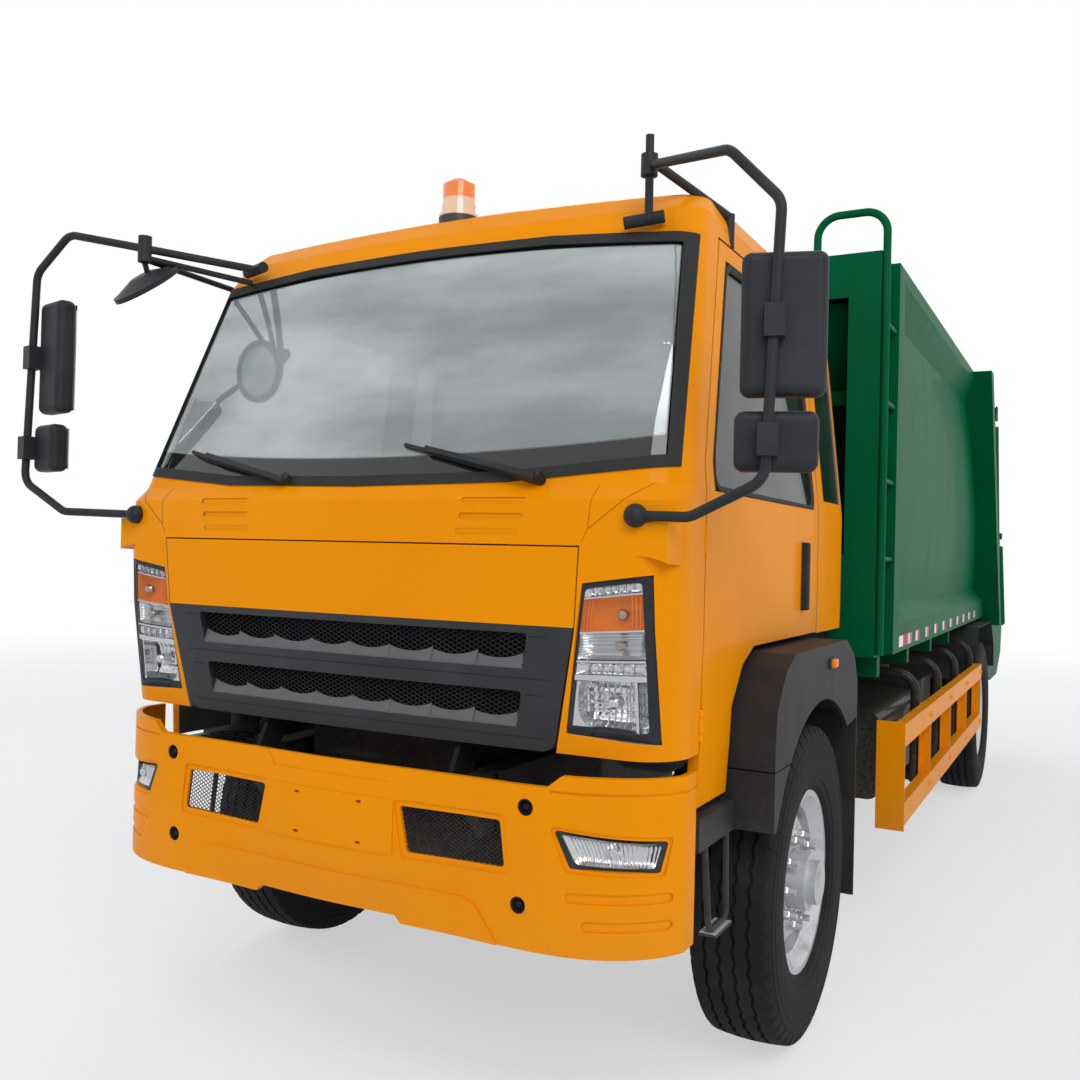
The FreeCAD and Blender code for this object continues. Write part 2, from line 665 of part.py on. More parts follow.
CAB_LEVELS = [
    # height, front, half width, rear, corner radius, bow of the front
    (CAB_SILL, 108, CAB_HALF - 14, CAB_REAR_Y, 130, 26),
    (1040, 104, CAB_HALF - 6, CAB_REAR_Y, 135, 24),
    (HOOD_LOW_Z, 62, CAB_HALF, CAB_REAR_Y, 135, 24),
    (FLAP_TOP_Z, 50, CAB_HALF, CAB_REAR_Y, 135, 26),
    (1700, 54, CAB_HALF, CAB_REAR_Y, 135, 28),
    (1745, 90, CAB_HALF - 1, CAB_REAR_Y, 130, 44),
    (2480, 398, CAB_HALF - 82, CAB_REAR_Y, 90, 40),
    (2560, 440, CAB_HALF - 94, CAB_REAR_Y, 90, 50),
    (2620, 500, CAB_HALF - 118, CAB_REAR_Y, 100, 60),
    (2660, 600, CAB_HALF - 160, CAB_REAR_Y - 6, 120, 60),
    (2700, 860, CAB_HALF - 220, CAB_REAR_Y - 16, 130, 50),
    (2735, 1240, CAB_HALF - 290, CAB_REAR_Y - 34, 130, 40),
    (ROOF_Z, 1600, CAB_HALF - 380, CAB_REAR_Y - 80, 110, 30)]


def cab_plan(level, inset):
    z, front, half, rear, radius, bow = level
    f = front + inset
    h = half - inset
    b = rear - inset
    r = max(radius - inset, 30)
    q = min(70, r)
    k = 1 - cos(radians(45))
    pts = {
        "a": V(-(h - r), f + bow, z), "m": V(0, f, z), "b": V(h - r, f + bow, z),
        "c": V(h - r * k, f + bow + r * k, z), "d": V(h, f + bow + r, z),
        "e": V(h, b - q, z), "g": V(h - q * k, b - q * k, z), "i": V(h - q, b, z)}
    front_arc = Part.Arc(pts["a"], pts["m"], pts["b"]).toShape()
    corner = Part.Arc(pts["b"], pts["c"], pts["d"]).toShape()
    side = Part.LineSegment(pts["d"], pts["e"]).toShape()
    back_corner = Part.Arc(pts["e"], pts["g"], pts["i"]).toShape()
    back = Part.LineSegment(pts["i"], V(-pts["i"].x, b, z)).toShape()
    left = []
    for e in (back_corner, side, corner):
        left.append(e.mirror(V(0, 0, 0), V(1, 0, 0)))
    return Part.Wire([front_arc, corner, side, back_corner, back] + left)


def cab_body(inset, top_inset):
    wires = []
    for level in CAB_LEVELS:
        lowered = list(level)
        lowered[0] = level[0] - top_inset if level[0] > 2500 else level[0]
        if level[0] == CAB_SILL:
            lowered[0] = CAB_SILL - (inset > 0) * 10
        wires.append(cab_plan(tuple(lowered), inset))
    return Part.makeLoft(wires, True, True)


def windscreen_outline(inset):
    low = [(-0.957 * CAB_HALF + inset, 1806 + inset), (-500, 1764 + inset), (0, 1756 + inset),
           (500, 1764 + inset), (0.957 * CAB_HALF - inset, 1806 + inset)]
    high = [(0.893 * CAB_HALF - inset, 2452 - inset), (450, 2484 - inset), (0, 2490 - inset),
            (-450, 2484 - inset), (-0.893 * CAB_HALF + inset, 2452 - inset)]
    return low + high


def flap_outline(gap):
    return [(-FLAP_TOP_X + gap, FLAP_TOP_Z - gap), (FLAP_TOP_X - gap, FLAP_TOP_Z - gap),
            (FLAP_MID_X - gap, HOOD_LOW_Z), (FLAP_LOW_X - gap, GRILLE_LOW_Z - 20 + gap),
            (-FLAP_LOW_X + gap, GRILLE_LOW_Z - 20 + gap), (-FLAP_MID_X + gap, HOOD_LOW_Z)]


def lamp_outline(gap):
    return [(742 + gap, 1488 - gap), (924 - gap, 1514 - gap), (934 - gap, 1088 + gap), (690 + gap, 1100 + gap)]


ARCH_LINE = [(588, 700), (588, 975), (598, 1135), (690, 1247), (795, 1293)]


def door_outline(gap):
    low = [(y - gap, z + gap * 0.6) for y, z in ARCH_LINE[1:]]
    return [(DOOR_Y0 + gap, CAB_SILL - 2 + gap), (588 - gap, CAB_SILL - 2 + gap)] + low + [
        (DOOR_Y1 - gap, 1293 + gap * 0.6), (DOOR_Y1 - gap, 2500 - gap),
        (620 + gap, 2500 - gap), (DOOR_Y0 + gap, BELT_Z + 60)]


def door_window(inset):
    return [(398 + inset, BELT_Z + inset), (DOOR_Y1 - 70 - inset, BELT_Z + inset),
            (DOOR_Y1 - 70 - inset, 2440 - inset), (668 + inset, 2440 - inset), (398 + inset * 1.2, BELT_Z + 80)]


def quarter_window(inset):
    return [(1640 + inset, BELT_Z + 40 + inset), (1910 - inset, BELT_Z + 40 + inset),
            (1910 - inset, 2400 - inset), (1640 + inset, 2400 - inset)]


def rear_window(inset):
    return [(-600 + inset, BELT_Z + 120 + inset), (600 - inset, BELT_Z + 120 + inset),
            (600 - inset, 2380 - inset), (-600 + inset, 2380 - inset)]


def hood_hinge_stays():
    # two plates either side of each hood arm, from the bulkhead to the pin
    stays = []
    for x in (-HOOD_ARM_X, HOOD_ARM_X):
        for dx in (-16, 9):
            stays.append(box(x + dx, x + dx + 7, HOOD_PIN_Y - 13, 302, HOOD_PIN_Z - 12, HOOD_PIN_Z + 12))
        stays.append(rod((x - 16, HOOD_PIN_Y, HOOD_PIN_Z), (x + 16, HOOD_PIN_Y, HOOD_PIN_Z), 8))
    return stays


def hood_arms():
    # each arm reaches back round the cowl's lower lip, so that the flap swings out clear of it
    arms = []
    y = HOOD_PIN_Y
    z = HOOD_PIN_Z
    for x in (-HOOD_ARM_X, HOOD_ARM_X):
        bits = [box(x - 7, x + 7, y, y + 122, z - 10, z + 10), box(x - 7, x + 7, y + 102, y + 122, z - 134, z + 10),
                box(x - 7, x + 7, 40, y + 122, z - 134, z - 114), rod((x - 7, y, z), (x + 7, y, z), 14)]
        arm = fuse(bits).cut(rod((x - 10, y, z), (x + 10, y, z), 8 + PIN_FIT))
        arms.append(arm)
    return arms


EAR_TOP_Z = 1643


def ear(gap):
    # the deflector over a headlamp: a block on the corner, with an arched underside
    plan = [(790 - gap, 150), (806 - gap, 80 - gap), (966 + gap, 88 - gap), (972 + gap, 190), (940, 240), (820, 240)]
    face = Part.Face(Part.makePolygon([V(x, y, 1500) for x, y in plan + plan[:1]]))
    block = face.extrude(V(0, 0, EAR_TOP_Z + gap - 1500))
    wires = [V(760, 0, 1490), V(864, 0, 1557 - gap), V(990, 0, 1528)]
    arch = Part.Face(Part.Wire([Part.Arc(*wires).toShape(), Part.makeLine(wires[2], V(990, 0, 1400)),
                                Part.makeLine(V(990, 0, 1400), V(760, 0, 1400)),
                                Part.makeLine(V(760, 0, 1400), wires[0])]))
    arch = arch.extrude(V(0, 400, 0))
    return block.cut(arch).cut(cab_body(PANEL - 4, PANEL))


def cowl_relief():
    # pressed louvres and the seams of the cowl panel, on the left side
    pressed = layer(-1, 5)
    shapes = []
    for z, x0, x1 in ((1698, 384, 579), (1657, 378, 570), (1616, 371, 561)):
        shapes.append(pressed.common(rounded_y([(x0, z + 8), (x1, z + 8), (x1, z - 8), (x0, z - 8)], [7.5] * 4,
                                               -50, 200)))
    seam = layer(-1, 3)
    for a, b in (((739, 1591), (755, 1624)), ((755, 1624), (765, 1738)), ((755, 1624), (905, 1745))):
        run = V(b[0] - a[0], 0, b[1] - a[1])
        side = V(-run.z, 0, run.x).normalize() * 1.5
        corners = [(a[0] + side.x, a[1] + side.z), (b[0] + side.x, b[1] + side.z),
                   (b[0] - side.x, b[1] - side.z), (a[0] - side.x, a[1] - side.z)]
        shapes.append(seam.common(prism_y(corners, -50, 300)))
    return shapes


def door_hinge_place():
    return CAB_HALF - 4, DOOR_Y0 + DOOR_GAP / 2


def hinge_zone(z0, z1, r):
    x, y = door_hinge_place()
    return Part.makeCylinder(r, z1 - z0, V(x, y, z0))


def build_cab():
    outer = cab_body(0, 0)
    inner = cab_body(PANEL, PANEL)
    shell = outer.cut(inner)
    shell = shell.cut(prism_x(ARCH_LINE + [(CAB_REAR_Y + 50, 1293), (CAB_REAR_Y + 50, 700)], -1300, 1300))
    shell = shell.cut(box(-1100, 1100, -50, DOOR_Y0, 700, PLENUM_LOW_Z))
    shell = shell.cut(prism_y(flap_outline(0), -50, 200))
    lamp = prism_y(lamp_outline(0), -50, 296)
    shell = shell.cut(lamp).cut(flip(lamp))
    shell = shell.cut(prism_y(windscreen_outline(0), -100, 700))
    side = prism_x(door_outline(0), 700, 1300)
    shell = shell.cut(side).cut(flip(side))
    side = prism_x(quarter_window(0), 700, 1300)
    shell = shell.cut(side).cut(flip(side))
    shell = shell.cut(prism_y(rear_window(0), CAB_REAR_Y - 200, CAB_REAR_Y + 50))
    lip = cab_body(LIP, LIP).common(box(-FLAP_TOP_X, FLAP_TOP_X, -50, 200, FLAP_TOP_Z - 20, LIP_HIGH_Z))
    shell = shell.cut(lip)
    floor = box(-CAB_HALF + 60, CAB_HALF - 60, 330, CAB_REAR_Y - 10, FLOOR_Z, FLOOR_Z + FLOOR_T)
    firewall = box(-CAB_HALF + 50, CAB_HALF - 50, 300, 330, FLOOR_Z - 60, 1735)
    bits = [shell, floor, firewall] + hood_hinge_stays()
    cavity = cab_body(PANEL + SEAT_GAP, PANEL)
    for s in (1, -1):
        x0 = min(s * (CAB_HALF - 60), s * (CAB_HALF - 100))
        bits.append(box(x0, x0 + 40, 700, CAB_REAR_Y - 10, FLOOR_Z, 1330))
        x0 = min(s * 340, s * 356)
        bits.append(prism_x([(TILT_Y - 24, TILT_Z - 20), (TILT_Y + 24, TILT_Z - 20), (360, FLOOR_Z),
                             (360, FLOOR_Z + 20), (300, FLOOR_Z + 20), (TILT_Y + 30, 1060),
                             (TILT_Y - 24, TILT_Z + 24)], x0, x0 + 16))
        bits.append(rod((min(s * 340, s * 440), TILT_Y, TILT_Z), (max(s * 340, s * 440), TILT_Y, TILT_Z),
                        TILT_PIN_R))
        bits.append(rod((s * 560, 0, 1240), (s * 560, 302, 1240), 16).common(cavity))
    frame = fuse(bits + [ear(0), flip(ear(0))])
    relief = cowl_relief()
    frame = frame.cut(relief + [flip(piece) for piece in relief])
    for z in HINGE_LEVELS:
        pocket = hinge_zone(z - 22, z + 22, HINGE_R + 1)
        lobes = fuse([hinge_zone(z - 42, z - 22, HINGE_R), hinge_zone(z + 22, z + 42, HINGE_R),
                      hinge_zone(z - 42, z + 42, HINGE_PIN_R)])
        frame = frame.cut(pocket).cut(flip(pocket)).fuse([lobes, flip(lobes)])
    save("cab_shell", frame.removeSplitter())
    return outer, inner


def layer(a, b):
    return cab_body(a, a).cut(cab_body(b, b))


def build_cab_trim(outer, inner):
    thin = layer(6, 12)
    glass = thin.common(prism_y(windscreen_outline(SEAT_GAP), -100, 700))
    save("windscreen", glass)
    build_windscreen_seal()
    rear = thin.common(prism_y(rear_window(SEAT_GAP), CAB_REAR_Y - 200, CAB_REAR_Y + 50))
    side = thin.common(prism_x(quarter_window(SEAT_GAP), 700, 1300))
    save("cab_glass", group([rear, side, flip(side)]))
    lamp_body = outer.cut(cab_body(90, 90)).common(prism_y(lamp_outline(SEAT_GAP), -50, 290))
    save("headlamps", group([lamp_body, flip(lamp_body)]))
    hood = [(-FLAP_TOP_X + 4, FLAP_TOP_Z - 4), (FLAP_TOP_X - 4, FLAP_TOP_Z - 4),
            (FLAP_MID_X - 4, HOOD_LOW_Z), (-FLAP_MID_X + 4, HOOD_LOW_Z)]
    skin = outer.cut(inner)
    thick_zone = cab_body(LIP, LIP).common(box(-FLAP_TOP_X, FLAP_TOP_X, -50, 200, LIP_LOW_Z, FLAP_TOP_Z))
    panel = skin.common(prism_y(hood, -50, 200)).cut(thick_zone)
    hinges = [a.common(cab_body(LIP, LIP)) for a in hood_arms()]
    save("hood_panel", fuse([panel] + hinges))
    frame_out = [(-FLAP_MID_X + 4, HOOD_LOW_Z), (FLAP_MID_X - 4, HOOD_LOW_Z),
                 (FLAP_LOW_X - 4, GRILLE_LOW_Z), (-FLAP_LOW_X + 4, GRILLE_LOW_Z)]
    grille = skin.common(rounded_y(frame_out, [1, 1, 45, 45], -50, 240))
    for top, low, half in GRILLE_WINDOWS:
        grille = grille.cut(grille_window(top, low, half, 0))
        grille = fuse([grille, grille_lip(outer, top, low, half)])
        for z in (low - 26, top - 8):
            groove = box(-half - 60, half + 60, -50, 240, z - 2, z + 2)
            if z > low:
                groove = groove.cut(box(-half - 8, half + 8, -60, 250, z - 5, z + 5))
            grille = grille.cut(groove.common(layer(-1, GROOVE)))
    save("grille_frame", grille)
    mesh_layer = cab_body(16, 16).cut(cab_body(20, 20))
    panes = [mesh_layer.common(grille_window(top, low, half, 0.5)) for top, low, half in GRILLE_WINDOWS]
    save("grille_mesh", group(panes))
    doors(outer, inner)
    crown = [(604, 962), (604, 1040), (618, 1135), (704, 1236), (806, 1280), (1500, 1280), (1640, 1215),
             (1700, 1100), (1700, 985), (1490, 962)]
    arch = rounded_x(crown, [1, 60, 80, 80, 60, 90, 90, 60, 8, 1], CAB_HALF - 60 + SEAT_GAP, ARCH_X)
    arch = arch.cut(arch_hollow())
    save("upper_arches", group([arch, flip(arch)]))


GRILLE_WINDOWS = ((1353, 1260, 586), (1199, 1104, 563))
LIP_WAVES = 8
LIP_RISE = 24
WAVE_R = 143
GROOVE = 2


def grille_window(top, low, half, inset):
    corners = [(-half + inset, top - inset), (half - inset, top - inset),
               (half - 14 - inset, low + inset), (-half + 14 + inset, low + inset)]
    return rounded_y(corners, [8, 8, 30, 30], -50, 240)


def grille_lip(outer, top, low, half):
    # a sill in the window's foot, scooped by one cone for each wave, widest at the front
    sill = layer(1, 15.5).common(grille_window(top, low, half, -2))
    sill = sill.common(box(-half - 5, half + 5, -50, 240, low - 2, low + LIP_RISE + 20))
    pitch = 2 * (half - 14) / LIP_WAVES
    for i in range(LIP_WAVES):
        x = (i + 0.5 - LIP_WAVES / 2) * pitch
        front = front_y(outer, x, low + LIP_RISE)
        scoop = Part.makeCone(WAVE_R + 45, WAVE_R, 16, V(x, front, low + LIP_RISE + WAVE_R), V(0, 1, 0))
        ahead = Part.makeCylinder(WAVE_R + 45, 60, V(x, front - 60, low + LIP_RISE + WAVE_R), V(0, 1, 0))
        behind = Part.makeCylinder(WAVE_R, 30, V(x, front + 16, low + LIP_RISE + WAVE_R), V(0, 1, 0))
        keep = box(-pitch / 2, pitch / 2, -90, 300, 0, 4000)
        keep.translate(V(x, 0, 0))
        sill = sill.cut(fuse([scoop, ahead, behind]).common(keep))
    return sill


def front_y(outer, x, z):
    # where the cab's front surface lies at that place
    probe = Part.makeLine(V(x, -200, z), V(x, 300, z)).common(outer)
    return probe.BoundBox.YMin


def build_windscreen_seal():
    # a rubber ring in the opening, with a lip over the panel's edge
    lip = layer(-SEAL_LIP, -SEAT_GAP).common(prism_y(windscreen_outline(-SEAL_W), -100, 700))
    lip = lip.cut(prism_y(windscreen_outline(SEAL_W), -100, 700))
    core = layer(-SEAT_GAP, 6 - SEAT_GAP).common(prism_y(windscreen_outline(SEAT_GAP), -100, 700))
    core = core.cut(prism_y(windscreen_outline(SEAL_W), -100, 700))
    save("windscreen_seal", fuse([lip, core]))


def doors(outer, inner):
    skin = outer.cut(inner)
    door = skin.common(prism_x(door_outline(DOOR_GAP), 600, 1300))
    door = door.cut(prism_x(door_window(0), 600, 1300))
    for z in HINGE_LEVELS:
        door = door.cut(hinge_zone(z - 44, z + 44, HINGE_R + 1))
        knuckle = hinge_zone(z - 20.5, z + 20.5, HINGE_R)
        x, y = door_hinge_place()
        web = box(x - 6, x + 2, y, y + HINGE_R + 4, z - 20.5, z + 20.5)
        door = fuse([door, knuckle, web]).cut(hinge_zone(z - 44, z + 44, HINGE_PIN_R + PIN_FIT))
    glass = layer(8, 14).common(prism_x(door_window(SEAT_GAP), 600, 1300))
    grip = box(CAB_HALF, CAB_HALF + 26, 1320, 1350, 1385, 1620)
    grip = grip.makeFillet(10, [e for e in grip.Edges if e.BoundBox.XMin > CAB_HALF + 1])
    for tag, turn in (("left", False), ("right", True)):
        save("door_" + tag, flip(door) if turn else door)
        save("door_glass_" + tag, flip(glass) if turn else glass)
        save("door_handle_" + tag, flip(grip) if turn else grip)


def build_interior():
    seats = []
    for x in (-520, 520):
        base = box(x - 250, x + 250, 1050, 1560, FLOOR_Z + FLOOR_T, 1520)
        back = prism_x([(1500, 1520), (1620, 2120), (1720, 2120), (1620, 1520)], x - 240, x + 240)
        seats.append(fuse([base, back]))
    save("seats", group(seats))
    dash = prism_x([(330, 1560), (330, 1700), (420, 1715), (620, 1640), (640, 1500), (560, 1450), (340, 1450)],
                   -CAB_HALF + 60, CAB_HALF - 60)
    column = rod((520, 560, 1480), (520, 786, 1717), 28)
    wheel = Part.makeTorus(215, 16, V(520, 790, 1722), V(0, 0.69, 0.724))
    hub = Part.makeCylinder(60, 20, V(520, 783, 1715), V(0, 0.69, 0.724))
    spoke = rod((312, 790, 1722), (728, 790, 1722), 12)
    save("dashboard", fuse([dash, column, wheel, hub, spoke]))


LEFT_BAR = ((1226, 100, 2400), (1199, 100, 1745))
RIGHT_BAR = ((-1346, 26, 2480), (-MIRROR_REACH + 14, 26, 1765))


def bar_at(bar, z):
    (x0, y0, z0), (x1, y1, z1) = bar
    t = (z - z0) / (z1 - z0)
    return x0 + (x1 - x0) * t, y0 + (y1 - y0) * t


def mirror_head(bar, z, height, reach_in, reach_out, turn, side):
    # the housing hangs behind its bar from a clamp, turned about the bar
    depth = 66
    back = box(-reach_in, reach_out, BAR_R + 6, BAR_R + 6 + depth, -height / 2, height / 2)
    back = back.makeFillet(24, back.Edges)
    clamp = box(-24, 24, -BAR_R - 8, BAR_R + 12, -39, 39)
    head = fuse([back, clamp])
    head.rotate(V(0, 0, 0), V(0, 0, 1), turn)
    if side < 0:
        head = flip(head)
    x, y = bar_at(bar, z)
    head.translate(V(x, y, z))
    low, high = bar
    return head.cut(rod(low, high, BAR_R + SEAT_GAP))


def build_mirrors():
    post_x = 762
    post_y = 402
    left = [bent_rod([(post_x, post_y, 2655), (1089, 120, 2548), LEFT_BAR[0], LEFT_BAR[1], (1022, 82, 1657),
                      (BALL_X, 76, 1660)], 60, BAR_R),
            rod((post_x, post_y + 4, 2500), (post_x, post_y, 2740), 12),
            rod((post_x, post_y, 2625), (post_x, post_y, 2685), 24),
            rod((post_x, post_y, 2672), (884, 745, 2594), BAR_R),
            rod((884, 745, 2500), (884, 745, 2602), 16),
            rod((690, post_y - 4, 2500), (800, post_y + 26, 2515), 18),
            Part.makeSphere(30, V(BALL_X, 76, 1660))]
    knee = (-905, 100, 2535)
    right = [bent_rod([knee, (-1192, 32, 2598), RIGHT_BAR[0], RIGHT_BAR[1], (-1181, 32, 1662),
                       (-BALL_X, 76, 1655)], 60, BAR_R),
             rod((knee[0], knee[1], 2490), (knee[0], knee[1], 2575), 22),
             rod(knee, (-700, 420, 2520), BAR_R),
             rod((-905, 104, 2505), (-737, 420, 2480), BAR_R - 3),
             rod((-905, 104, 2500), (-905, 520, 2490), BAR_R - 3),
             rod((-770, 430, 2520), (-660, 395, 2522), 18),
             rod((knee[0], knee[1], 2490), (ROUND_HEAD[0], ROUND_HEAD[1] + 10, ROUND_HEAD[2] + 20), 9),
             Part.makeSphere(30, V(-BALL_X, 76, 1655))]
    seat = cab_body(-SEAT_GAP, -SEAT_GAP)
    bowl = round_mirror(SEAT_GAP)
    ears = [ear(SEAT_GAP), flip(ear(SEAT_GAP))]
    arms = [fuse(left).cut([seat] + ears), fuse(right).cut([seat] + ears).cut(bowl)]
    save("mirror_arms", group(arms))
    heads = [mirror_head(LEFT_BAR, 2118, 345, 78, 124, 17, 1), mirror_head(LEFT_BAR, 1840, 145, 78, 120, 17, 1),
             mirror_head(RIGHT_BAR, 2190, 384, 150, 2, 12, -1), mirror_head(RIGHT_BAR, 1880, 162, 140, 2, 12, -1),
             round_mirror(0)]
    save("mirror_heads", group(heads))


ROUND_HEAD = (-927, 130, 2425)


def round_mirror(grow):
    # a dish seen from below, tilted so that it shows the ground ahead of the bumper
    centre = V(*ROUND_HEAD)
    aim = V(0.15, 0.62, -0.77)
    aim.normalize()
    dish = Part.makeCylinder(118 + grow, 16 + 2 * grow, centre - aim * (8 + grow), aim)
    back = Part.makeCone(40 + grow, 112 + grow, 26, centre - aim * (34 + grow), aim)
    return dish.fuse(back).removeSplitter()


def build_roof_gear():
    seat = cab_body(-SEAT_GAP, -SEAT_GAP)
    foot = Part.makeCylinder(66, 60, V(0, BEACON_Y, BEACON_Z - 44)).cut(seat)
    body = Part.makeCylinder(58, 34, V(0, BEACON_Y, BEACON_Z + 16))
    dome = Part.makeCylinder(55, 66, V(0, BEACON_Y, BEACON_Z + 50))
    cap = Part.makeSphere(55, V(0, BEACON_Y, BEACON_Z + 86)).common(
        Part.makeCylinder(60, 60, V(0, BEACON_Y, BEACON_Z + 100)))
    save("beacon", fuse([foot, body, dome, cap]))
    blades = []
    glass_seat = cab_body(6 - SEAT_GAP, 0)
    for pivot_x, tip_x in ((-255, -696), (599, 142)):
        bits = [rod((pivot_x, 190, 1700), (pivot_x, 76, 1772), 15)]
        arm = wiper_strip(pivot_x, tip_x, 0, 0.82, 8, 26)
        blade = wiper_strip(pivot_x, tip_x, 0.34, 1, 5, 14)
        inside = prism_y(windscreen_outline(SEAL_W + 4), -100, 700)
        bits = [fuse(bits + [arm]).cut(cab_body(-SEAL_LIP - SEAT_GAP, 0)), blade.cut(glass_seat).common(inside)]
        blades.append(fuse(bits))
    save("wipers", group(blades))


def wiper_strip(x0, x1, t0, t1, half, proud):
    # a straight strip from the pivot towards the blade's tip, standing in the windscreen's slope
    def at(t):
        return V(x0 + (x1 - x0) * t, 92 + 52 * t, 1752 + 104 * t)
    a = at(t0)
    b = at(t1)
    up = (b - a).normalize().cross(V(0, -0.9, 0.44)).normalize() * half
    out = V(0, -0.9, 0.44) * proud
    deep = V(0, 0.9, -0.44) * 30
    corners = [a - up + out, b - up + out, b + up + out, a + up + out]
    face = Part.Face(Part.makePolygon(corners + [corners[0]]))
    return face.extrude(deep - out)


# Container


def body_section():
    # One half: flat floor, upright band, sloped ledge, bulged side panel, sloped cornice, flat roof.
    foot = BODY_HALF - SIDE_RECESS
    pts = [(0, BODY_FLOOR_Z), (BODY_HALF, BODY_FLOOR_Z), (BODY_HALF, LEDGE_Z), (foot, LEDGE_Z + 78)]
    high = [(foot, BODY_TOP_Z - 200), (BODY_HALF, BODY_TOP_Z - 60), (BODY_HALF, BODY_TOP_Z), (0, BODY_TOP_Z)]
    y = 0
    edges = []
    for m in (1, -1):
        low_v = [V(m * x, y, z) for x, z in pts]
        high_v = [V(m * x, y, z) for x, z in high]
        for i in range(3):
            edges.append(Part.LineSegment(low_v[i], low_v[i + 1]).toShape())
            edges.append(Part.LineSegment(high_v[i], high_v[i + 1]).toShape())
        mid = V(m * (foot + SIDE_BULGE), y, (low_v[3].z + high_v[0].z) / 2)
        edges.append(Part.Arc(low_v[3], mid, high_v[0]).toShape())
    return Part.Face(Part.Wire(Part.__sortEdges__(edges)))


def joint_wedge(shift):
    y_top = slant_y(4000) + shift
    y_low = slant_y(0) + shift
    return prism_x([(BODY_Y0 - 200, 0), (y_low, 0), (y_top, 4000), (BODY_Y0 - 200, 4000)], -1500, 1500)


def build_container():
    section = body_section().extrude(V(0, 7000 - SIDE_Y0, 0))
    section.translate(V(0, SIDE_Y0, 0))
    hold = BODY_HALF - SIDE_RECESS - WALL
    hollow = box(-hold, hold, BODY_Y0 + WALL, 7050, BODY_FLOOR_Z + WALL, BODY_TOP_Z - WALL)
    portal = box(-LADDER_X, LADDER_X, BODY_Y0, SIDE_Y0 + 1, BODY_FLOOR_Z, BODY_TOP_Z)
    post = box(-BODY_HALF, BODY_HALF, POST_Y0, SIDE_Y0, BODY_FLOOR_Z, BODY_TOP_Z)
    window = box(-960, 960, BODY_Y0 - 50, BODY_Y0 + WALL + 10, 1586, 2642)
    shell = fuse([section.common(joint_wedge(0)), portal, post]).cut(hollow).cut(window)
    ribs = []
    for i in range(1, 4):
        y = SIDE_Y0 + i * 620
        ribs.append(box(-BODY_HALF + 20, BODY_HALF - 20, y, y + 60, BODY_TOP_Z, BODY_TOP_Z + 26))
    save("container_shell", fuse([shell] + ribs + container_base()))
    ring_out = [(-RING_HALF, BODY_FLOOR_Z - 60), (RING_HALF, BODY_FLOOR_Z - 60), (RING_HALF, BODY_TOP_Z),
                (-RING_HALF, BODY_TOP_Z)]
    ring_in = prism_y([(-BODY_HALF + 60, BODY_FLOOR_Z + WALL), (BODY_HALF - 60, BODY_FLOOR_Z + WALL),
                       (BODY_HALF - 60, BODY_TOP_Z - 60), (-BODY_HALF + 60, BODY_TOP_Z - 60)], 4000, 8000)
    ring = prism_y(ring_out, 4500, 7000).cut(ring_in)
    ring = ring.common(joint_wedge(RING_DEPTH)).cut(joint_wedge(0))
    lugs = []
    for x in (-600, -440, 440, 600):
        lug = prism_x([(5120, BODY_TOP_Z), (5215, BODY_TOP_Z), (GATE_HINGE_Y + 30, GATE_HINGE_Z - 10),
                       (GATE_HINGE_Y + 22, GATE_HINGE_Z + 30), (GATE_HINGE_Y - 22, GATE_HINGE_Z + 30)],
                      x - 12, x + 12)
        lugs.append(lug.cut(rod((x - 20, GATE_HINGE_Y, GATE_HINGE_Z), (x + 20, GATE_HINGE_Y, GATE_HINGE_Z), 16.4)))
    y, z = LIFT_BASE
    for s in (1, -1):
        for off in (-40, 26):
            x = s * LIFT_X + off
            ear = prism_x([(slant_y(z + 36) + RING_DEPTH - 60, z + 36), (slant_y(z - 60) + RING_DEPTH - 60, z - 60),
                           (y + 34, z - 34), (y + 34, z + 24), (y + 20, z + 36)], x, x + 14)
            lugs.append(ear)
        lugs.append(rod((s * LIFT_X - 40, y, z), (s * LIFT_X + 40, y, z), 18))
    save("rear_ring", fuse([ring] + lugs))
    x = LADDER_X + 16 + SEAT_GAP
    y = BODY_Y0 + 17
    rail = bent_rod([(x, y, BODY_FLOOR_Z + 10), (x, y, HOOP_Z), (x - 282, y, HOOP_Z), (x - 282, y, BODY_TOP_Z)],
                    90, 16)
    steps = []
    for i in range(4):
        z = 1570 + i * 320
        steps.append(rod((x, y, z), (x, POST_Y0, z), 11))
    save("ladder", fuse([rail] + steps))
    build_ejector(hold - 8)


# Tailgate

def build_ejector(half):
    # a plough open to the front, on two shoes
    y = BODY_Y0
    f = BODY_FLOOR_Z
    t = BODY_TOP_Z
    wedge = prism_x([(y + 90, f + 40), (y + 900, f + 40), (y + 900, f + 52), (y + 720, f + 300),
                     (y + 120, t - 180), (y + 90, t - 180)], -half, half)
    hollow = prism_x([(y + 50, f + 52), (y + 880, f + 52), (y + 704, f + 296), (y + 104, t - 192), (y + 50, t - 192)],
                     -half + 10, half - 10)
    bits = [wedge.cut(hollow)]
    for s in (1, -1):
        x0 = min(s * (half - 60), s * (half - 160))
        bits.append(box(x0, x0 + 100, y + 110, y + 880, f + WALL + SEAT_GAP, f + 41))
    for z in (f + 500, f + 1050):
        bits.append(box(-half + 5, half - 5, y + 150, y + 230, z, z + 60))
    save("ejector_panel", fuse(bits))


def gate_profile():
    return [(slant_y(2790) + RING_DEPTH + 8, 2790), (slant_y(1000) + RING_DEPTH + 8, 1000),
            (6300, 760), (6700, GATE_LOW_Z), (7250, GATE_LOW_Z), (7600, 800), (7700, 1120),
            (7240, 1500), (6800, 2300), (6300, 2790)]


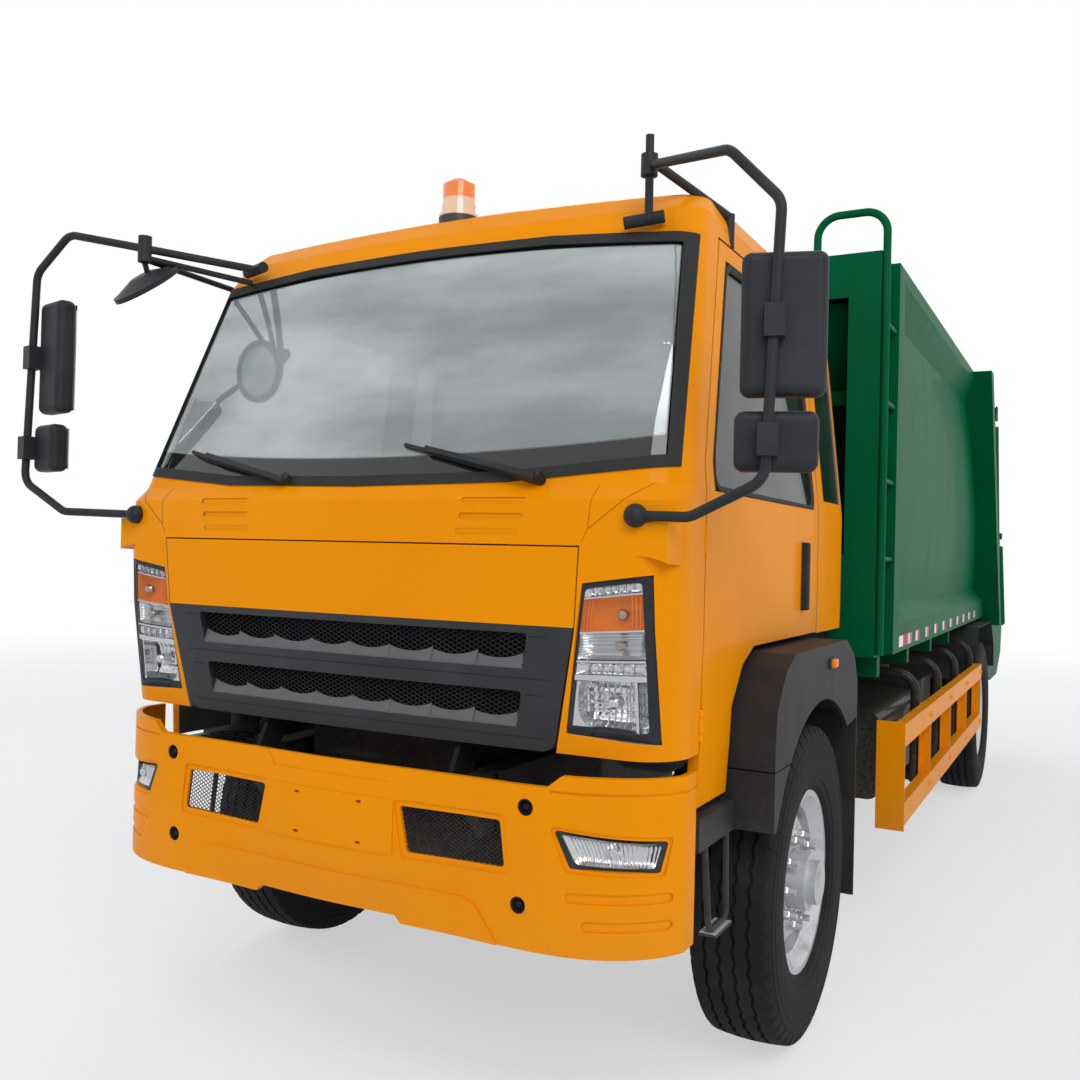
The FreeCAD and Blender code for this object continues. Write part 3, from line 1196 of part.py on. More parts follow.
def gate_hollow(t):
    return [(slant_y(2790) + RING_DEPTH - 90, 2790 - t), (slant_y(1000) + RING_DEPTH - 90, 1000 + t),
            (6300 + 10, 760 + t), (6700, GATE_LOW_Z + t), (7250 - 4, GATE_LOW_Z + t), (7600 - t, 806 + t * 0.4),
            (7700 - t, 1180), (7900, 1200), (7900, 1560), (7200, 1500 + t),
            (6800 - t, 2300 - t), (6300 - t * 0.5, 2790 - t)]


def build_tailgate():
    t = 12
    outer = prism_x(gate_profile(), -GATE_HALF, GATE_HALF)
    hollow = prism_x(gate_hollow(t), -GATE_HALF + t, GATE_HALF - t)
    slot = prism_x(slot_profile(), GATE_HALF - 40, GATE_HALF + 20)
    shell = outer.cut(hollow).cut(slot).cut(flip(slot))
    lugs = []
    for x in (-520, 520):
        lug = prism_x([(GATE_HINGE_Y - 24, GATE_HINGE_Z - 16), (GATE_HINGE_Y + 10, GATE_HINGE_Z - 30),
                       (5420, 2760), (5640, 2760), (GATE_HINGE_Y + 40, GATE_HINGE_Z + 30),
                       (GATE_HINGE_Y - 24, GATE_HINGE_Z + 30)], x - 60, x + 60)
        lugs.append(lug.cut(hollow))
        lugs.append(rod((x - 96, GATE_HINGE_Y, GATE_HINGE_Z), (x + 96, GATE_HINGE_Y, GATE_HINGE_Z), 16))
    y, z = LIFT_EYE
    for s in (1, -1):
        for off in (-34, 24):
            x = s * LIFT_X + off
            lugs.append(prism_x([(y - 34, z + 36), (y - 34, z - 60), (y + 60, z - 60), (y + 60, z + 36)], x, x + 10))
        back = sorted((s * GATE_HALF, s * LIFT_X + s * 34))
        lugs.append(box(back[0], back[1], y + 46, y + 60, z - 60, z + 36))
    ribs = []
    for x in (-GATE_HALF + 20, -380, 380, GATE_HALF - 20):
        ribs.append(prism_x([(6230, 2790), (6300, 2812), (6318, 2808), (6822, 2314), (7263, 1510), (7236, 1500),
                             (6795, 2295), (6295, 2782)], x - 20, x + 20))
    shell = fuse([shell] + ribs).common(box(-GATE_HALF, GATE_HALF, 5000, 8000, 0, 3000))
    save("hopper_shell", fuse([shell] + lugs + lifter_lugs()))


SLIDE = (sin(radians(29)), -cos(radians(29)))
SLIDE_LOW = (6450, 1560)
LIFT_BASE = (6150, 1330)
LIFT_EYE = (5760, 2640)
LIFT_X = 1182


def slide_point(u, w):
    # u runs down the slide, w square to it, towards the rear
    sy, sz = SLIDE
    return (SLIDE_LOW[0] + u * sy - w * sz, SLIDE_LOW[1] + u * sz + w * sy)


def slot_profile():
    h = 34
    return [slide_point(-CARRIAGE_STROKE - 340, -h), slide_point(-140, -h), slide_point(-140, h),
            slide_point(-CARRIAGE_STROKE - 340, h)]


def hinge_plate(x, u_from, u_to, half, r):
    # a plate round the blade's pin, with one straight end
    y, z = slide_point(0, 0)
    bar = prism_x([slide_point(u_from, -half), slide_point(u_to, -half), slide_point(u_to, half),
                   slide_point(u_from, half)], x - 14, x + 14)
    return fuse([bar, rod((x - 14, y, z), (x + 14, y, z), r)])


def build_packer():
    half = GATE_HALF - 12 - 8
    plate = prism_x([slide_point(-520, -60), slide_point(-BLADE_CLEAR, -60), slide_point(-BLADE_CLEAR, 60),
                     slide_point(-520, 60)], -half, half)
    y, z = slide_point(0, 0)
    bits = [plate]
    for x in BLADE_EARS:
        bits.append(hinge_plate(x, -BLADE_CLEAR - 10, 0, BLADE_EAR_R, BLADE_EAR_R))
    carriage = fuse(bits)
    for x in BLADE_EARS:
        carriage = carriage.cut(rod((x - 20, y, z), (x + 20, y, z), BLADE_PIN_R + PIN_FIT))
    pins = []
    py, pz = slide_point(-240, 0)
    for s in (1, -1):
        pins.append(rod((s * (half - 20), py, pz), (s * (GATE_HALF + 96), py, pz), CARRIAGE_PIN_R))
    save("carriage", fuse([carriage] + pins))
    blade = [prism_x([slide_point(BLADE_EAR_R + 14, -30), slide_point(520, -110), slide_point(540, -80),
                      slide_point(470, 10), slide_point(BLADE_EAR_R + 14, 30)], -half, half)]
    for x in BLADE_EARS:
        inward = 36 if x < 0 else -36
        blade.append(hinge_plate(x + inward, 0, BLADE_EAR_R + 30, 28, 28))
        blade.append(rod((x - 60, y, z), (x + 60, y, z), BLADE_PIN_R))
    save("packer_blade", fuse(blade))
    save_carriage_cylinders()


def save_carriage_cylinders():
    barrels = []
    rods = []
    pin = slide_point(-240, 0)
    for s in (1, -1):
        x = s * (GATE_HALF + 62)
        a = slide_point(-140, 0)
        b = slide_point(-80 + CARRIAGE_STROKE, 0)
        barrel = ring_rod((x, a[0], a[1]), (x, b[0], b[1]), 38, 20.5)
        near = sorted((s * GATE_HALF, x - s * 30))
        lug = box(near[0], near[1], b[0] - 30, b[0] + 10, b[1] - 10, b[1] + 30)
        cap = rod((x, b[0], b[1]), (x, b[0] + 12 * SLIDE[0], b[1] + 12 * SLIDE[1]), 38)
        barrels.append(fuse([barrel, cap, lug]))
        tip = slide_point(-100 + CARRIAGE_STROKE, 0)
        eye = rod((x - 18, pin[0], pin[1]), (x + 18, pin[0], pin[1]), 40)
        stem = rod((x, pin[0], pin[1]), (x, tip[0], tip[1]), 20)
        whole = fuse([eye, stem]).cut(rod((x - 30, pin[0], pin[1]), (x + 30, pin[0], pin[1]), CARRIAGE_PIN_R + PIN_FIT))
        rods.append(whole)
    save("carriage_barrels", group(barrels))
    save("carriage_rods", group(rods))


def build_lifter():
    half = 950
    arms = []
    for x in (-half, -half + 400, half - 400, half):
        arms.append(box(x - 30, x + 30, 7716, 7760, 700, 1180))
    cross = [box(-half - 30, half + 30, 7722, 7754, 720, 800), box(-half - 30, half + 30, 7722, 7754, 1060, 1130)]
    comb = []
    for i in range(13):
        x = -780 + i * 130
        comb.append(box(x - 14, x + 14, 7754, 7800, 1100, 1180))
    pins = []
    for s in (1, -1):
        pins.append(rod((s * (half - 60), 7738, 1180), (s * (half + 60), 7738, 1180), 16))
    save("bin_lifter", fuse(arms + cross + comb + pins))


def lifter_lugs():
    half = 950
    lugs = []
    for s in (1, -1):
        x0 = min(s * (half + 36), s * (half + 56))
        lug = box(x0, x0 + 20, 7690, 7760, 1100, 1210).cut(
            rod((x0 - 5, 7738, 1180), (x0 + 25, 7738, 1180), 16.4))
        lug = lug.cut(prism_x(gate_profile(), -GATE_HALF, GATE_HALF))
        lugs.append(lug)
    return lugs


def build_lift_cylinders():
    barrels = []
    stems = []
    base = LIFT_BASE
    eye = LIFT_EYE
    n = hypot(eye[0] - base[0], eye[1] - base[1])
    for s in (1, -1):
        x = s * LIFT_X

        def along(d):
            return (x, base[0] + (eye[0] - base[0]) * d / n, base[1] + (eye[1] - base[1]) * d / n)
        tube = rod(along(80), along(n - 110), 42)
        side_y = (eye[1] - base[1]) / n * 26
        side_z = (eye[0] - base[0]) / n * 26
        near = along(0)
        far = along(90)
        lug = prism_x([(near[1] - side_y, near[2] + side_z), (far[1] - side_y, far[2] + side_z),
                       (far[1] + side_y, far[2] - side_z), (near[1] + side_y, near[2] - side_z)], x - 16, x + 16)
        foot = fuse([rod((x - 20, base[0], base[1]), (x + 20, base[0], base[1]), 34), lug])
        whole = fuse([tube, foot]).cut(rod(along(100), along(n - 110), 22.5))
        barrels.append(whole.cut(rod((x - 40, base[0], base[1]), (x + 40, base[0], base[1]), 18 + PIN_FIT)))
        stem = fuse([rod(along(140), along(n), 22), rod((x - 16, eye[0], eye[1]), (x + 16, eye[0], eye[1]), 34)])
        stems.append(stem.cut(rod((x - 40, eye[0], eye[1]), (x + 40, eye[0], eye[1]), 18.4)))
    save("lift_barrels", group(barrels))
    save("lift_rods", group(stems))


def build_all():
    build_wheels()
    build_frame()
    build_engine()
    build_axles()
    build_steering()
    build_bumper()
    flaps = build_steps()
    build_tanks()
    build_guards()
    build_mudguards(flaps)
    outer, inner = build_cab()
    build_cab_trim(outer, inner)
    build_interior()
    build_mirrors()
    build_roof_gear()
    build_container()
    build_tailgate()
    build_packer()
    build_lifter()
    build_lift_cylinders()


build_all()
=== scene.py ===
"""The looks of a rear-loading garbage truck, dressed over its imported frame."""

import logging
import math
from dataclasses import dataclass
from enum import Enum
from typing import Callable, Sequence, Union

import bmesh
import bpy
import numpy as np
from mathutils import Matrix, Vector


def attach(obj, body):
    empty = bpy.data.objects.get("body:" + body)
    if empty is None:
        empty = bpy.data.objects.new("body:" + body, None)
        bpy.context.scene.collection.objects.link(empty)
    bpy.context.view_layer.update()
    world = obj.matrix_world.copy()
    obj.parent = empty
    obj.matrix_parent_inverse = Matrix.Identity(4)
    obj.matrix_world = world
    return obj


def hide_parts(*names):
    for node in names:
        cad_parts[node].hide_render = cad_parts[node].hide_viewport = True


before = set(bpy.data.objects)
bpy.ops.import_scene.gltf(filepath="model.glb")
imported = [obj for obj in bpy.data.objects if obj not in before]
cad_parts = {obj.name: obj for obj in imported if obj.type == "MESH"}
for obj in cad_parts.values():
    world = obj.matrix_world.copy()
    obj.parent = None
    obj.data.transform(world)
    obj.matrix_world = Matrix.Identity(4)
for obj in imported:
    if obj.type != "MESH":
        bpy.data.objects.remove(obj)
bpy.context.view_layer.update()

LOG = logging.getLogger("garbage_truck")
FULL_TURN = 2 * math.pi
AXLE_HEIGHT = 0.509
FRONT_AXLE = -2.744
REAR_AXLE = 1.706

Number = Union["Wire", float]
Colour = Union["Wire", tuple]
Corners = Sequence[Sequence[float]]
Face = Callable[[np.ndarray, np.ndarray], np.ndarray]
Relief = Callable[[np.ndarray, np.ndarray, np.ndarray, np.ndarray], np.ndarray]


class Wire:
    """A shader socket that can stand in a sum, so that shader maths reads as Python."""

    def __init__(self, tree: "Tree", socket: bpy.types.NodeSocket) -> None:
        """Keeps the tree that its new nodes go into, and the output socket."""
        self.tree, self.socket = tree, socket

    def maths(self, operation: str, first: Number, second: Number = 0.0) -> "Wire":
        """A Math node's value from two wires or numbers."""
        return self.tree.node("ShaderNodeMath", {"operation": operation}, {0: first, 1: second})

    def __add__(self, other: Number) -> "Wire":
        """The sum."""
        return self.maths("ADD", self, other)

    def __radd__(self, other: Number) -> "Wire":
        """The sum, from the right."""
        return self.maths("ADD", other, self)

    def __sub__(self, other: Number) -> "Wire":
        """The difference."""
        return self.maths("SUBTRACT", self, other)

    def __rsub__(self, other: Number) -> "Wire":
        """The difference, from the right."""
        return self.maths("SUBTRACT", other, self)

    def __mul__(self, other: Number) -> "Wire":
        """The product."""
        return self.maths("MULTIPLY", self, other)

    def __rmul__(self, other: Number) -> "Wire":
        """The product, from the right."""
        return self.maths("MULTIPLY", other, self)

    def __gt__(self, other: Number) -> "Wire":
        """One where this is more than the other, else nought."""
        return self.maths("GREATER_THAN", self, other)

    def __lt__(self, other: Number) -> "Wire":
        """One where this is less than the other, else nought."""
        return self.maths("LESS_THAN", self, other)

    def __abs__(self) -> "Wire":
        """The size without its sign."""
        return self.maths("ABSOLUTE", self)

    def sine(self) -> "Wire":
        """The sine."""
        return self.maths("SINE", self)

    def or_more(self, other: Number) -> "Wire":
        """The greater of the two."""
        return self.maths("MAXIMUM", self, other)

    def clamp(self) -> "Wire":
        """Held between nought and one."""
        return self.tree.node("ShaderNodeClamp", {}, {0: self})

    def ramp(self, low: float, high: float) -> "Wire":
        """Goes smoothly from nought at the low value to one at the high one."""
        return self.tree.node("ShaderNodeMapRange", {"interpolation_type": "SMOOTHSTEP"},
                              {"Value": self, "From Min": low, "From Max": high})


class Tree:
    """The node tree of a material or a world, written through a few calls."""

    def __init__(self, owner: Union[bpy.types.Material, bpy.types.World]) -> None:
        """Empties the owner's tree.

        Args:
            owner: the material or the world.
        """
        owner.use_nodes = True
        self.tree = owner.node_tree
        self.tree.nodes.clear()

    def node(self, kind: str, settings: dict, sockets: dict,
             output: Union[int, str, None] = 0) -> Union[Wire, bpy.types.Node]:
        """Adds a node.

        Args:
            kind: the node's type.
            settings: its properties, which are set before its sockets.
            sockets: values or wires by socket name or number; a colour has three numbers.
            output: the output that is handed back, or None for the node itself.

        Returns:
            A wire on the output, or the node.
        """
        made = self.tree.nodes.new(kind)
        for key, value in settings.items():
            setattr(made, key, value)
        for key, value in sockets.items():
            socket = made.inputs[key]
            if isinstance(value, Wire):
                self.tree.links.new(value.socket, socket)
            else:
                socket.default_value = (*value, 1.0) if socket.type == "RGBA" else value
        return made if output is None else Wire(self, made.outputs[output])

    def ray(self, kind: str) -> Wire:
        """One where the light path's ray is of this kind, else nought."""
        return self.node("ShaderNodeLightPath", {}, {}, f"Is {kind} Ray")


class Shader(Tree):
    """One material, with each point's place in the object's own coordinates."""

    def __init__(self, name: str) -> None:
        """Starts an empty material.

        Args:
            name: the material's name.
        """
        self.material = bpy.data.materials.new(name)
        super().__init__(self.material)
        self.place = self.node("ShaderNodeTexCoord", {}, {}, "Object")
        parts = self.node("ShaderNodeSeparateXYZ", {}, {0: self.place}, None)
        self.x, self.y, self.z = (Wire(self, parts.outputs[i]) for i in range(3))

    def vector(self, operation: str, first: Wire, second: Union[Wire, tuple],
               output: Union[int, str] = 0) -> Wire:
        """A Vector Math node's value."""
        return self.node("ShaderNodeVectorMath", {"operation": operation}, {0: first, 1: second}, output)

    def noise(self, scale: float, detail: float, stretch: tuple = (1, 1, 1)) -> Wire:
        """Cloudy noise, a half on average: clouds in a metre, finer layers, tightness along each axis."""
        place = self.vector("MULTIPLY", self.place, stretch)
        return self.node("ShaderNodeTexNoise", {}, {"Vector": place, "Scale": scale, "Detail": detail})

    def cells(self, scale: float) -> Wire:
        """The distance to the middle of Voronoi cells, so many to a metre."""
        return self.node("ShaderNodeTexVoronoi", {"feature": "F1"}, {"Vector": self.place, "Scale": scale},
                         "Distance")

    def blend(self, share: Wire, low: Colour, high: Colour) -> Wire:
        """The colour that lies the share of the way from the first to the second."""
        return self.node("ShaderNodeMix", {"data_type": "RGBA"}, {"Factor": share, 6: low, 7: high}, 2)

    def bump(self, height: Wire, depth: float, strength: float) -> Wire:
        """A normal that follows a height from nought to one, whose full step is so many metres deep."""
        return self.node("ShaderNodeBump", {}, {"Height": height, "Distance": depth, "Strength": strength})

    def dust(self, top: float, most: float) -> Wire:
        """Road dust: noise is added to the height, and a ramp of that thins it out from the ground up.

        Args:
            top: the height at which it ends, in metres.
            most: its share at the ground.

        Returns:
            The share of dust.
        """
        height = self.z + self.noise(5.0, 4.0) * 0.5 - 0.25
        speckle = self.noise(60.0, 2.0).ramp(0.35, 0.7)
        return (1.0 - height.ramp(0.0, top)) * (0.45 + speckle * 0.55) * most

    def principled(self, sockets: dict) -> bpy.types.Material:
        """Ends the material in a Principled shader with these values and wires, and hands it back."""
        return self.ends_in(self.node("ShaderNodeBsdfPrincipled", {}, sockets))

    def ends_in(self, shader: Wire) -> bpy.types.Material:
        """Joins a shader to the material's output, and hands the material back."""
        self.node("ShaderNodeOutputMaterial", {}, {"Surface": shader}, None)
        return self.material


def scaled(colour: tuple, factor: float, lift: float = 0.0) -> tuple:
    """A colour times a factor, plus a lift, held under one."""
    return tuple(min(1.0, part * factor + lift) for part in colour)


@dataclass(frozen=True)
class Paint:
    """Gloss vehicle enamel: faint waviness, slow shifts of colour, road dust low down."""

    name: str
    colour: tuple
    shade: tuple
    roughness: float = 0.34
    coat: float = 0.08
    dust: float = 0.3
    dust_top: float = 0.9
    grit: tuple = (0.23, 0.19, 0.14)
    wave: float = 0.0016
    wave_scale: float = 190.0

    def enamel(self, shader: Shader) -> tuple:
        """Its colour: slow clouds and upright runs shade it, and dust covers it.

        Args:
            shader: the material that is being written.

        Returns:
            The colour, the share of dust and the share of runs.
        """
        slow = shader.noise(1.3, 2.0).ramp(0.35, 0.65)
        runs = shader.noise(9.0, 4.0, (1, 1, 0.12)).ramp(0.45, 0.8)
        dust = shader.dust(self.dust_top, self.dust)
        body = shader.blend(slow * 0.5 + runs * 0.25, self.colour, self.shade)
        return shader.blend(dust, body, self.grit), dust, runs

    def gloss(self, shader: Shader, colour: Wire, dust: Wire, runs: Wire, bare: Number) -> bpy.types.Material:
        """Ends the material in a coated surface, dull where there is dust.

        Args:
            shader: the material that is being written.
            colour: its colour.
            dust: the share of dust.
            runs: the share of runs.
            bare: the share that has no coat.

        Returns:
            The material.
        """
        return shader.principled({
            "Base Color": colour, "Roughness": self.roughness + dust * 0.45 + runs * 0.04 + bare * 0.4,
            "Coat Weight": (self.coat - dust * self.coat) * (1.0 - bare), "Coat Roughness": 0.06, "IOR": 1.42,
            "Specular IOR Level": 0.04,
            "Normal": shader.bump(shader.noise(self.wave_scale, 2.0), self.wave, 0.16)})

    def build(self) -> bpy.types.Material:
        """Writes the material."""
        shader = Shader(self.name)
        return self.gloss(shader, *self.enamel(shader), 0.0)


@dataclass(frozen=True)
class CabPaint(Paint):
    """The cab's enamel outside, grey lining inside, and black where it lies behind the grille."""

    lining: tuple = (0.20, 0.20, 0.195)
    black: tuple = (0.014, 0.014, 0.015)
    heart: tuple = (0.0, -2.95, 1.85)
    turned_in: float = -0.12
    cowl: tuple = (0.932, -3.72, 1.74)
    brackets: tuple = (0.6, 1.16)

    def build(self) -> bpy.types.Material:
        """Writes the material: a face is lining where its normal points towards the cab's middle, and
        black where its place lies in the cowl's or the brackets' range.

        Returns:
            The material.
        """
        shader = Shader(self.name)
        normal = shader.node("ShaderNodeTexCoord", {}, {}, "Normal")
        towards = shader.vector("SUBTRACT", shader.place, self.heart)
        inward = shader.vector("DOT_PRODUCT", normal, towards, "Value") < self.turned_in
        half, front, top = self.cowl
        behind = (shader.z < top) * (abs(shader.x) < half) * (shader.y > front)
        half, top = self.brackets
        hidden = (behind + (shader.z < top) * (abs(shader.x) < half)).clamp()
        colour, dust, runs = self.enamel(shader)
        colour = shader.blend(hidden, shader.blend(inward, colour, self.lining), self.black)
        return self.gloss(shader, colour, dust, runs, inward)


@dataclass(frozen=True)
class Plastic:
    """Moulded plastic with a fine leather grain, paler where it has weathered."""

    name: str
    colour: tuple
    roughness: float = 0.5
    grain: float = 900.0
    depth: float = 0.0004
    dust: float = 0.3
    dust_top: float = 1.3
    grit: tuple = (0.2, 0.17, 0.13)
    specular: float = 0.16

    def weathered(self, shader: Shader) -> tuple:
        """The share of weathering, and the colour that clouds of it give."""
        faded = shader.noise(6.0, 4.0).ramp(0.4, 0.75)
        return faded, shader.blend(faded * 0.6, self.colour, scaled(self.colour, 1.45, 0.008))

    def grained(self, shader: Shader, colour: Wire, roughness: Wire) -> bpy.types.Material:
        """Ends the material in a surface whose leather grain is raised by cells."""
        grain = shader.bump(shader.cells(self.grain), self.depth, 0.35)
        return shader.principled({"Base Color": colour, "Roughness": roughness,
                                  "Specular IOR Level": self.specular, "Normal": grain})

    def build(self) -> bpy.types.Material:
        """Writes the material.

        Returns:
            The material.
        """
        shader = Shader(self.name)
        faded, body = self.weathered(shader)
        dust = shader.dust(self.dust_top, self.dust)
        roughness = self.roughness + faded * 0.1 + dust * 0.2
        return self.grained(shader, shader.blend(dust, body, self.grit), roughness)


@dataclass(frozen=True)
class GrillePlastic(Plastic):
    """The grille's dark plastic, with the wavy sills in its two windows painted a paler grey as the light
    that falls on them.
    """

    specular: float = 0.3
    # painted light: the paler grey of the lit sills
    sill_painted_light: tuple = (0.105, 0.105, 0.108)
    sill_height: float = 0.075
    windows: tuple = ((1.260, 0.569), (1.104, 0.546))

    def build(self) -> bpy.types.Material:
        """Writes the material: a sill's painted light is where the height lies in a window and the place
        between its ends.

        Returns:
            The material.
        """
        shader = Shader(self.name)
        faded, body = self.weathered(shader)
        # painted light: a band at each window's foot turns paler grey, standing for the sloping sill's lit
        # face
        sill_painted_light = sum((shader.z > low - 0.001) * (shader.z < low + self.sill_height) * (abs(shader.x) < half)
                   for low, half in self.windows)
        return self.grained(shader, shader.blend(sill_painted_light, body, self.sill_painted_light), self.roughness + faded * 0.1)


@dataclass(frozen=True)
class Rubber:
    """Black rubber with a dusty bloom."""

    name: str
    colour: tuple = (0.009, 0.009, 0.009)
    bloom: tuple = (0.045, 0.042, 0.037)
    roughness: float = 0.78
    amount: float = 0.55

    def build(self) -> bpy.types.Material:
        """Writes the material: patches and specks of noise give the bloom.

        Returns:
            The material.
        """
        shader = Shader(self.name)
        patches = shader.noise(7.0, 5.0).ramp(0.42, 0.78)
        specks = shader.noise(140.0, 3.0).ramp(0.5, 0.75)
        return shader.principled({
            "Base Color": shader.blend((patches * 0.7 + specks * 0.3) * self.amount, self.colour, self.bloom),
            "Roughness": self.roughness + patches * 0.12, "Specular IOR Level": 0.2,
            "Normal": shader.bump(shader.noise(420.0, 2.0), 0.0006, 0.3)})


@dataclass(frozen=True)
class Metal:
    """Bare, plated or silver-painted metal with a little grime."""

    name: str
    colour: tuple
    roughness: float = 0.32
    metallic: float = 1.0
    grime: float = 0.3
    soot: tuple = (0.07, 0.055, 0.04)

    def build(self) -> bpy.types.Material:
        """Writes the material: fine noise shades it, and clouds of grime dull it.

        Returns:
            The material.
        """
        shader = Shader(self.name)
        grime = shader.noise(14.0, 5.0).ramp(0.5, 0.8) * self.grime
        fine = shader.noise(260.0, 3.0)
        tint = shader.blend(fine * 0.5, self.colour, scaled(self.colour, 0.72))
        return shader.principled({
            "Base Color": shader.blend(grime, tint, self.soot),
            "Metallic": self.metallic - grime * self.metallic * 0.8,
            "Roughness": self.roughness + fine * 0.12 + grime * 0.4,
            "Normal": shader.bump(fine, 0.0005, 0.18)})


@dataclass(frozen=True)
class Glass:
    """Glass or clear plastic: a tint in the body and a film of dust."""

    name: str
    colour: tuple
    roughness: float = 0.02
    alpha: float = 0.35
    dust: float = 0.12
    specular: float = 0.9
    coat: float = 1.0
    film: tuple = (0.45, 0.42, 0.37)

    def glazed(self, shader: Shader, film: Wire, sockets: dict) -> bpy.types.Material:
        """Ends the material in a clear surface.

        Args:
            shader: the material that is being written.
            film: the share of dust.
            sockets: its colour, its alpha and what else is its own.

        Returns:
            The material.
        """
        shader.material.surface_render_method = "BLENDED"
        return shader.principled({
            "Roughness": self.roughness + film * 0.5, "IOR": 1.5, "Specular IOR Level": self.specular,
            "Coat Weight": (1.0 - film) * self.coat, "Coat Roughness": 0.01, **sockets})

    def build(self) -> bpy.types.Material:
        """Writes the material.

        Returns:
            The material.
        """
        shader = Shader(self.name)
        film = shader.noise(4.0, 5.0).ramp(0.4, 0.8) * self.dust
        colour = shader.blend(film, self.colour, self.film)
        return self.glazed(shader, film, {"Base Color": colour, "Alpha": self.alpha + film})


@dataclass(frozen=True)
class Screen(Glass):
    """The windscreen: partly mirroring glass whose colour holds a painted reflection of a cloudy sky, with a
    black printed border, wider at its foot.

    Its foot and its top are parabolas, z = a x^2 + b, and its sides are lines, x = a z + b.
    """

    specular: float = 0.5
    coat: float = 0.35
    foot: float = 0.066
    edge: float = 0.022
    mirror: float = 0.38
    foot_line: tuple = (0.057, 1.756)
    top_line: tuple = (-0.050, 2.490)
    side_line: tuple = (-0.0975, 1.1121)
    print_black: tuple = (0.008, 0.008, 0.009)
    # painted reflection: the dark and the pale grey of the clouds painted into the glass's colour
    painted_reflection_dark: tuple = (0.30, 0.33, 0.335)
    painted_reflection_pale: tuple = (0.62, 0.66, 0.665)

    def build(self) -> bpy.types.Material:
        """Writes the material: the border is where the place is near a line of the outline.

        Returns:
            The material.
        """
        shader = Shader(self.name)
        square = shader.x * shader.x
        over_foot = shader.z - (square * self.foot_line[0] + self.foot_line[1])
        over_top = shader.z - (square * self.top_line[0] + self.top_line[1])
        past_side = abs(shader.x) - (shader.z * self.side_line[0] + self.side_line[1])
        at_foot = 1.0 - over_foot.ramp(self.foot, self.foot + 0.012)
        at_rim = (line.ramp(-self.edge - 0.006, -self.edge) for line in (over_top, past_side))
        border = sum(at_rim, at_foot).clamp()
        film = shader.noise(4.0, 5.0).ramp(0.4, 0.8) * self.dust
        # painted reflection: noise clouds between a dark and a pale grey stand for a cloudy sky mirrored in
        # the glass
        painted_cloud_reflection = shader.noise(2.6, 5.0, (0.5, 1, 1.6)).ramp(0.3, 0.75)
        body = shader.blend(painted_cloud_reflection, self.painted_reflection_dark, self.painted_reflection_pale)
        return self.glazed(shader, film, {
            "Base Color": shader.blend(border, body, self.print_black),
            "Metallic": (1.0 - border) * self.mirror,
            "Alpha": (self.alpha + film + over_top.ramp(-0.16, -0.03) * 0.25 + border).clamp()})


@dataclass(frozen=True)
class BeaconDome:
    """The beacon: a black and pale foot below, amber plastic with ring flutes above."""

    name: str
    split: float = 2.722
    foot_top: float = 2.66
    black: tuple = (0.03, 0.03, 0.03)
    pale: tuple = (0.82, 0.55, 0.36)
    amber: tuple = ((0.9, 0.16, 0.004), (0.95, 0.26, 0.01))
    flutes: float = 1400.0

    def build(self) -> bpy.types.Material:
        """Writes the material: the colours change over at two heights, and a sine of the height raises
        the flutes.

        Returns:
            The material.
        """
        shader = Shader(self.name)
        above = shader.z.ramp(self.split - 0.002, self.split + 0.002)
        black = 1.0 - shader.z.ramp(self.foot_top, self.foot_top + 0.004)
        amber = shader.blend(shader.noise(30.0, 2.0), *self.amber)
        flutes = (shader.z * self.flutes).sine() * 0.5 + 0.5
        return shader.principled({
            "Base Color": shader.blend(black, shader.blend(above, self.pale, amber), self.black),
            "Roughness": 0.16 + black * 0.4, "Coat Weight": 1.0 - black * 0.9, "IOR": 1.49,
            "Normal": shader.bump(flutes * above, 0.0012, 0.5)})


@dataclass(frozen=True)
class Fabric:
    """Woven seat cloth: two crossed sine waves raise the threads."""

    name: str
    colour: tuple
    threads: float = 420.0

    def build(self) -> bpy.types.Material:
        """Writes the material.

        Returns:
            The material.
        """
        shader = Shader(self.name)
        across, along = (((place + shader.z) * self.threads * 6.28).sine() for place in (shader.x, shader.y))
        weave = across * along * 0.5 + 0.5
        worn = shader.noise(8.0, 4.0)
        return shader.principled({
            "Base Color": shader.blend(weave * 0.4 + worn * 0.3, self.colour, scaled(self.colour, 1.7)),
            "Roughness": 0.85, "Sheen Weight": 0.25, "Normal": shader.bump(weave, 0.0004, 0.5)})


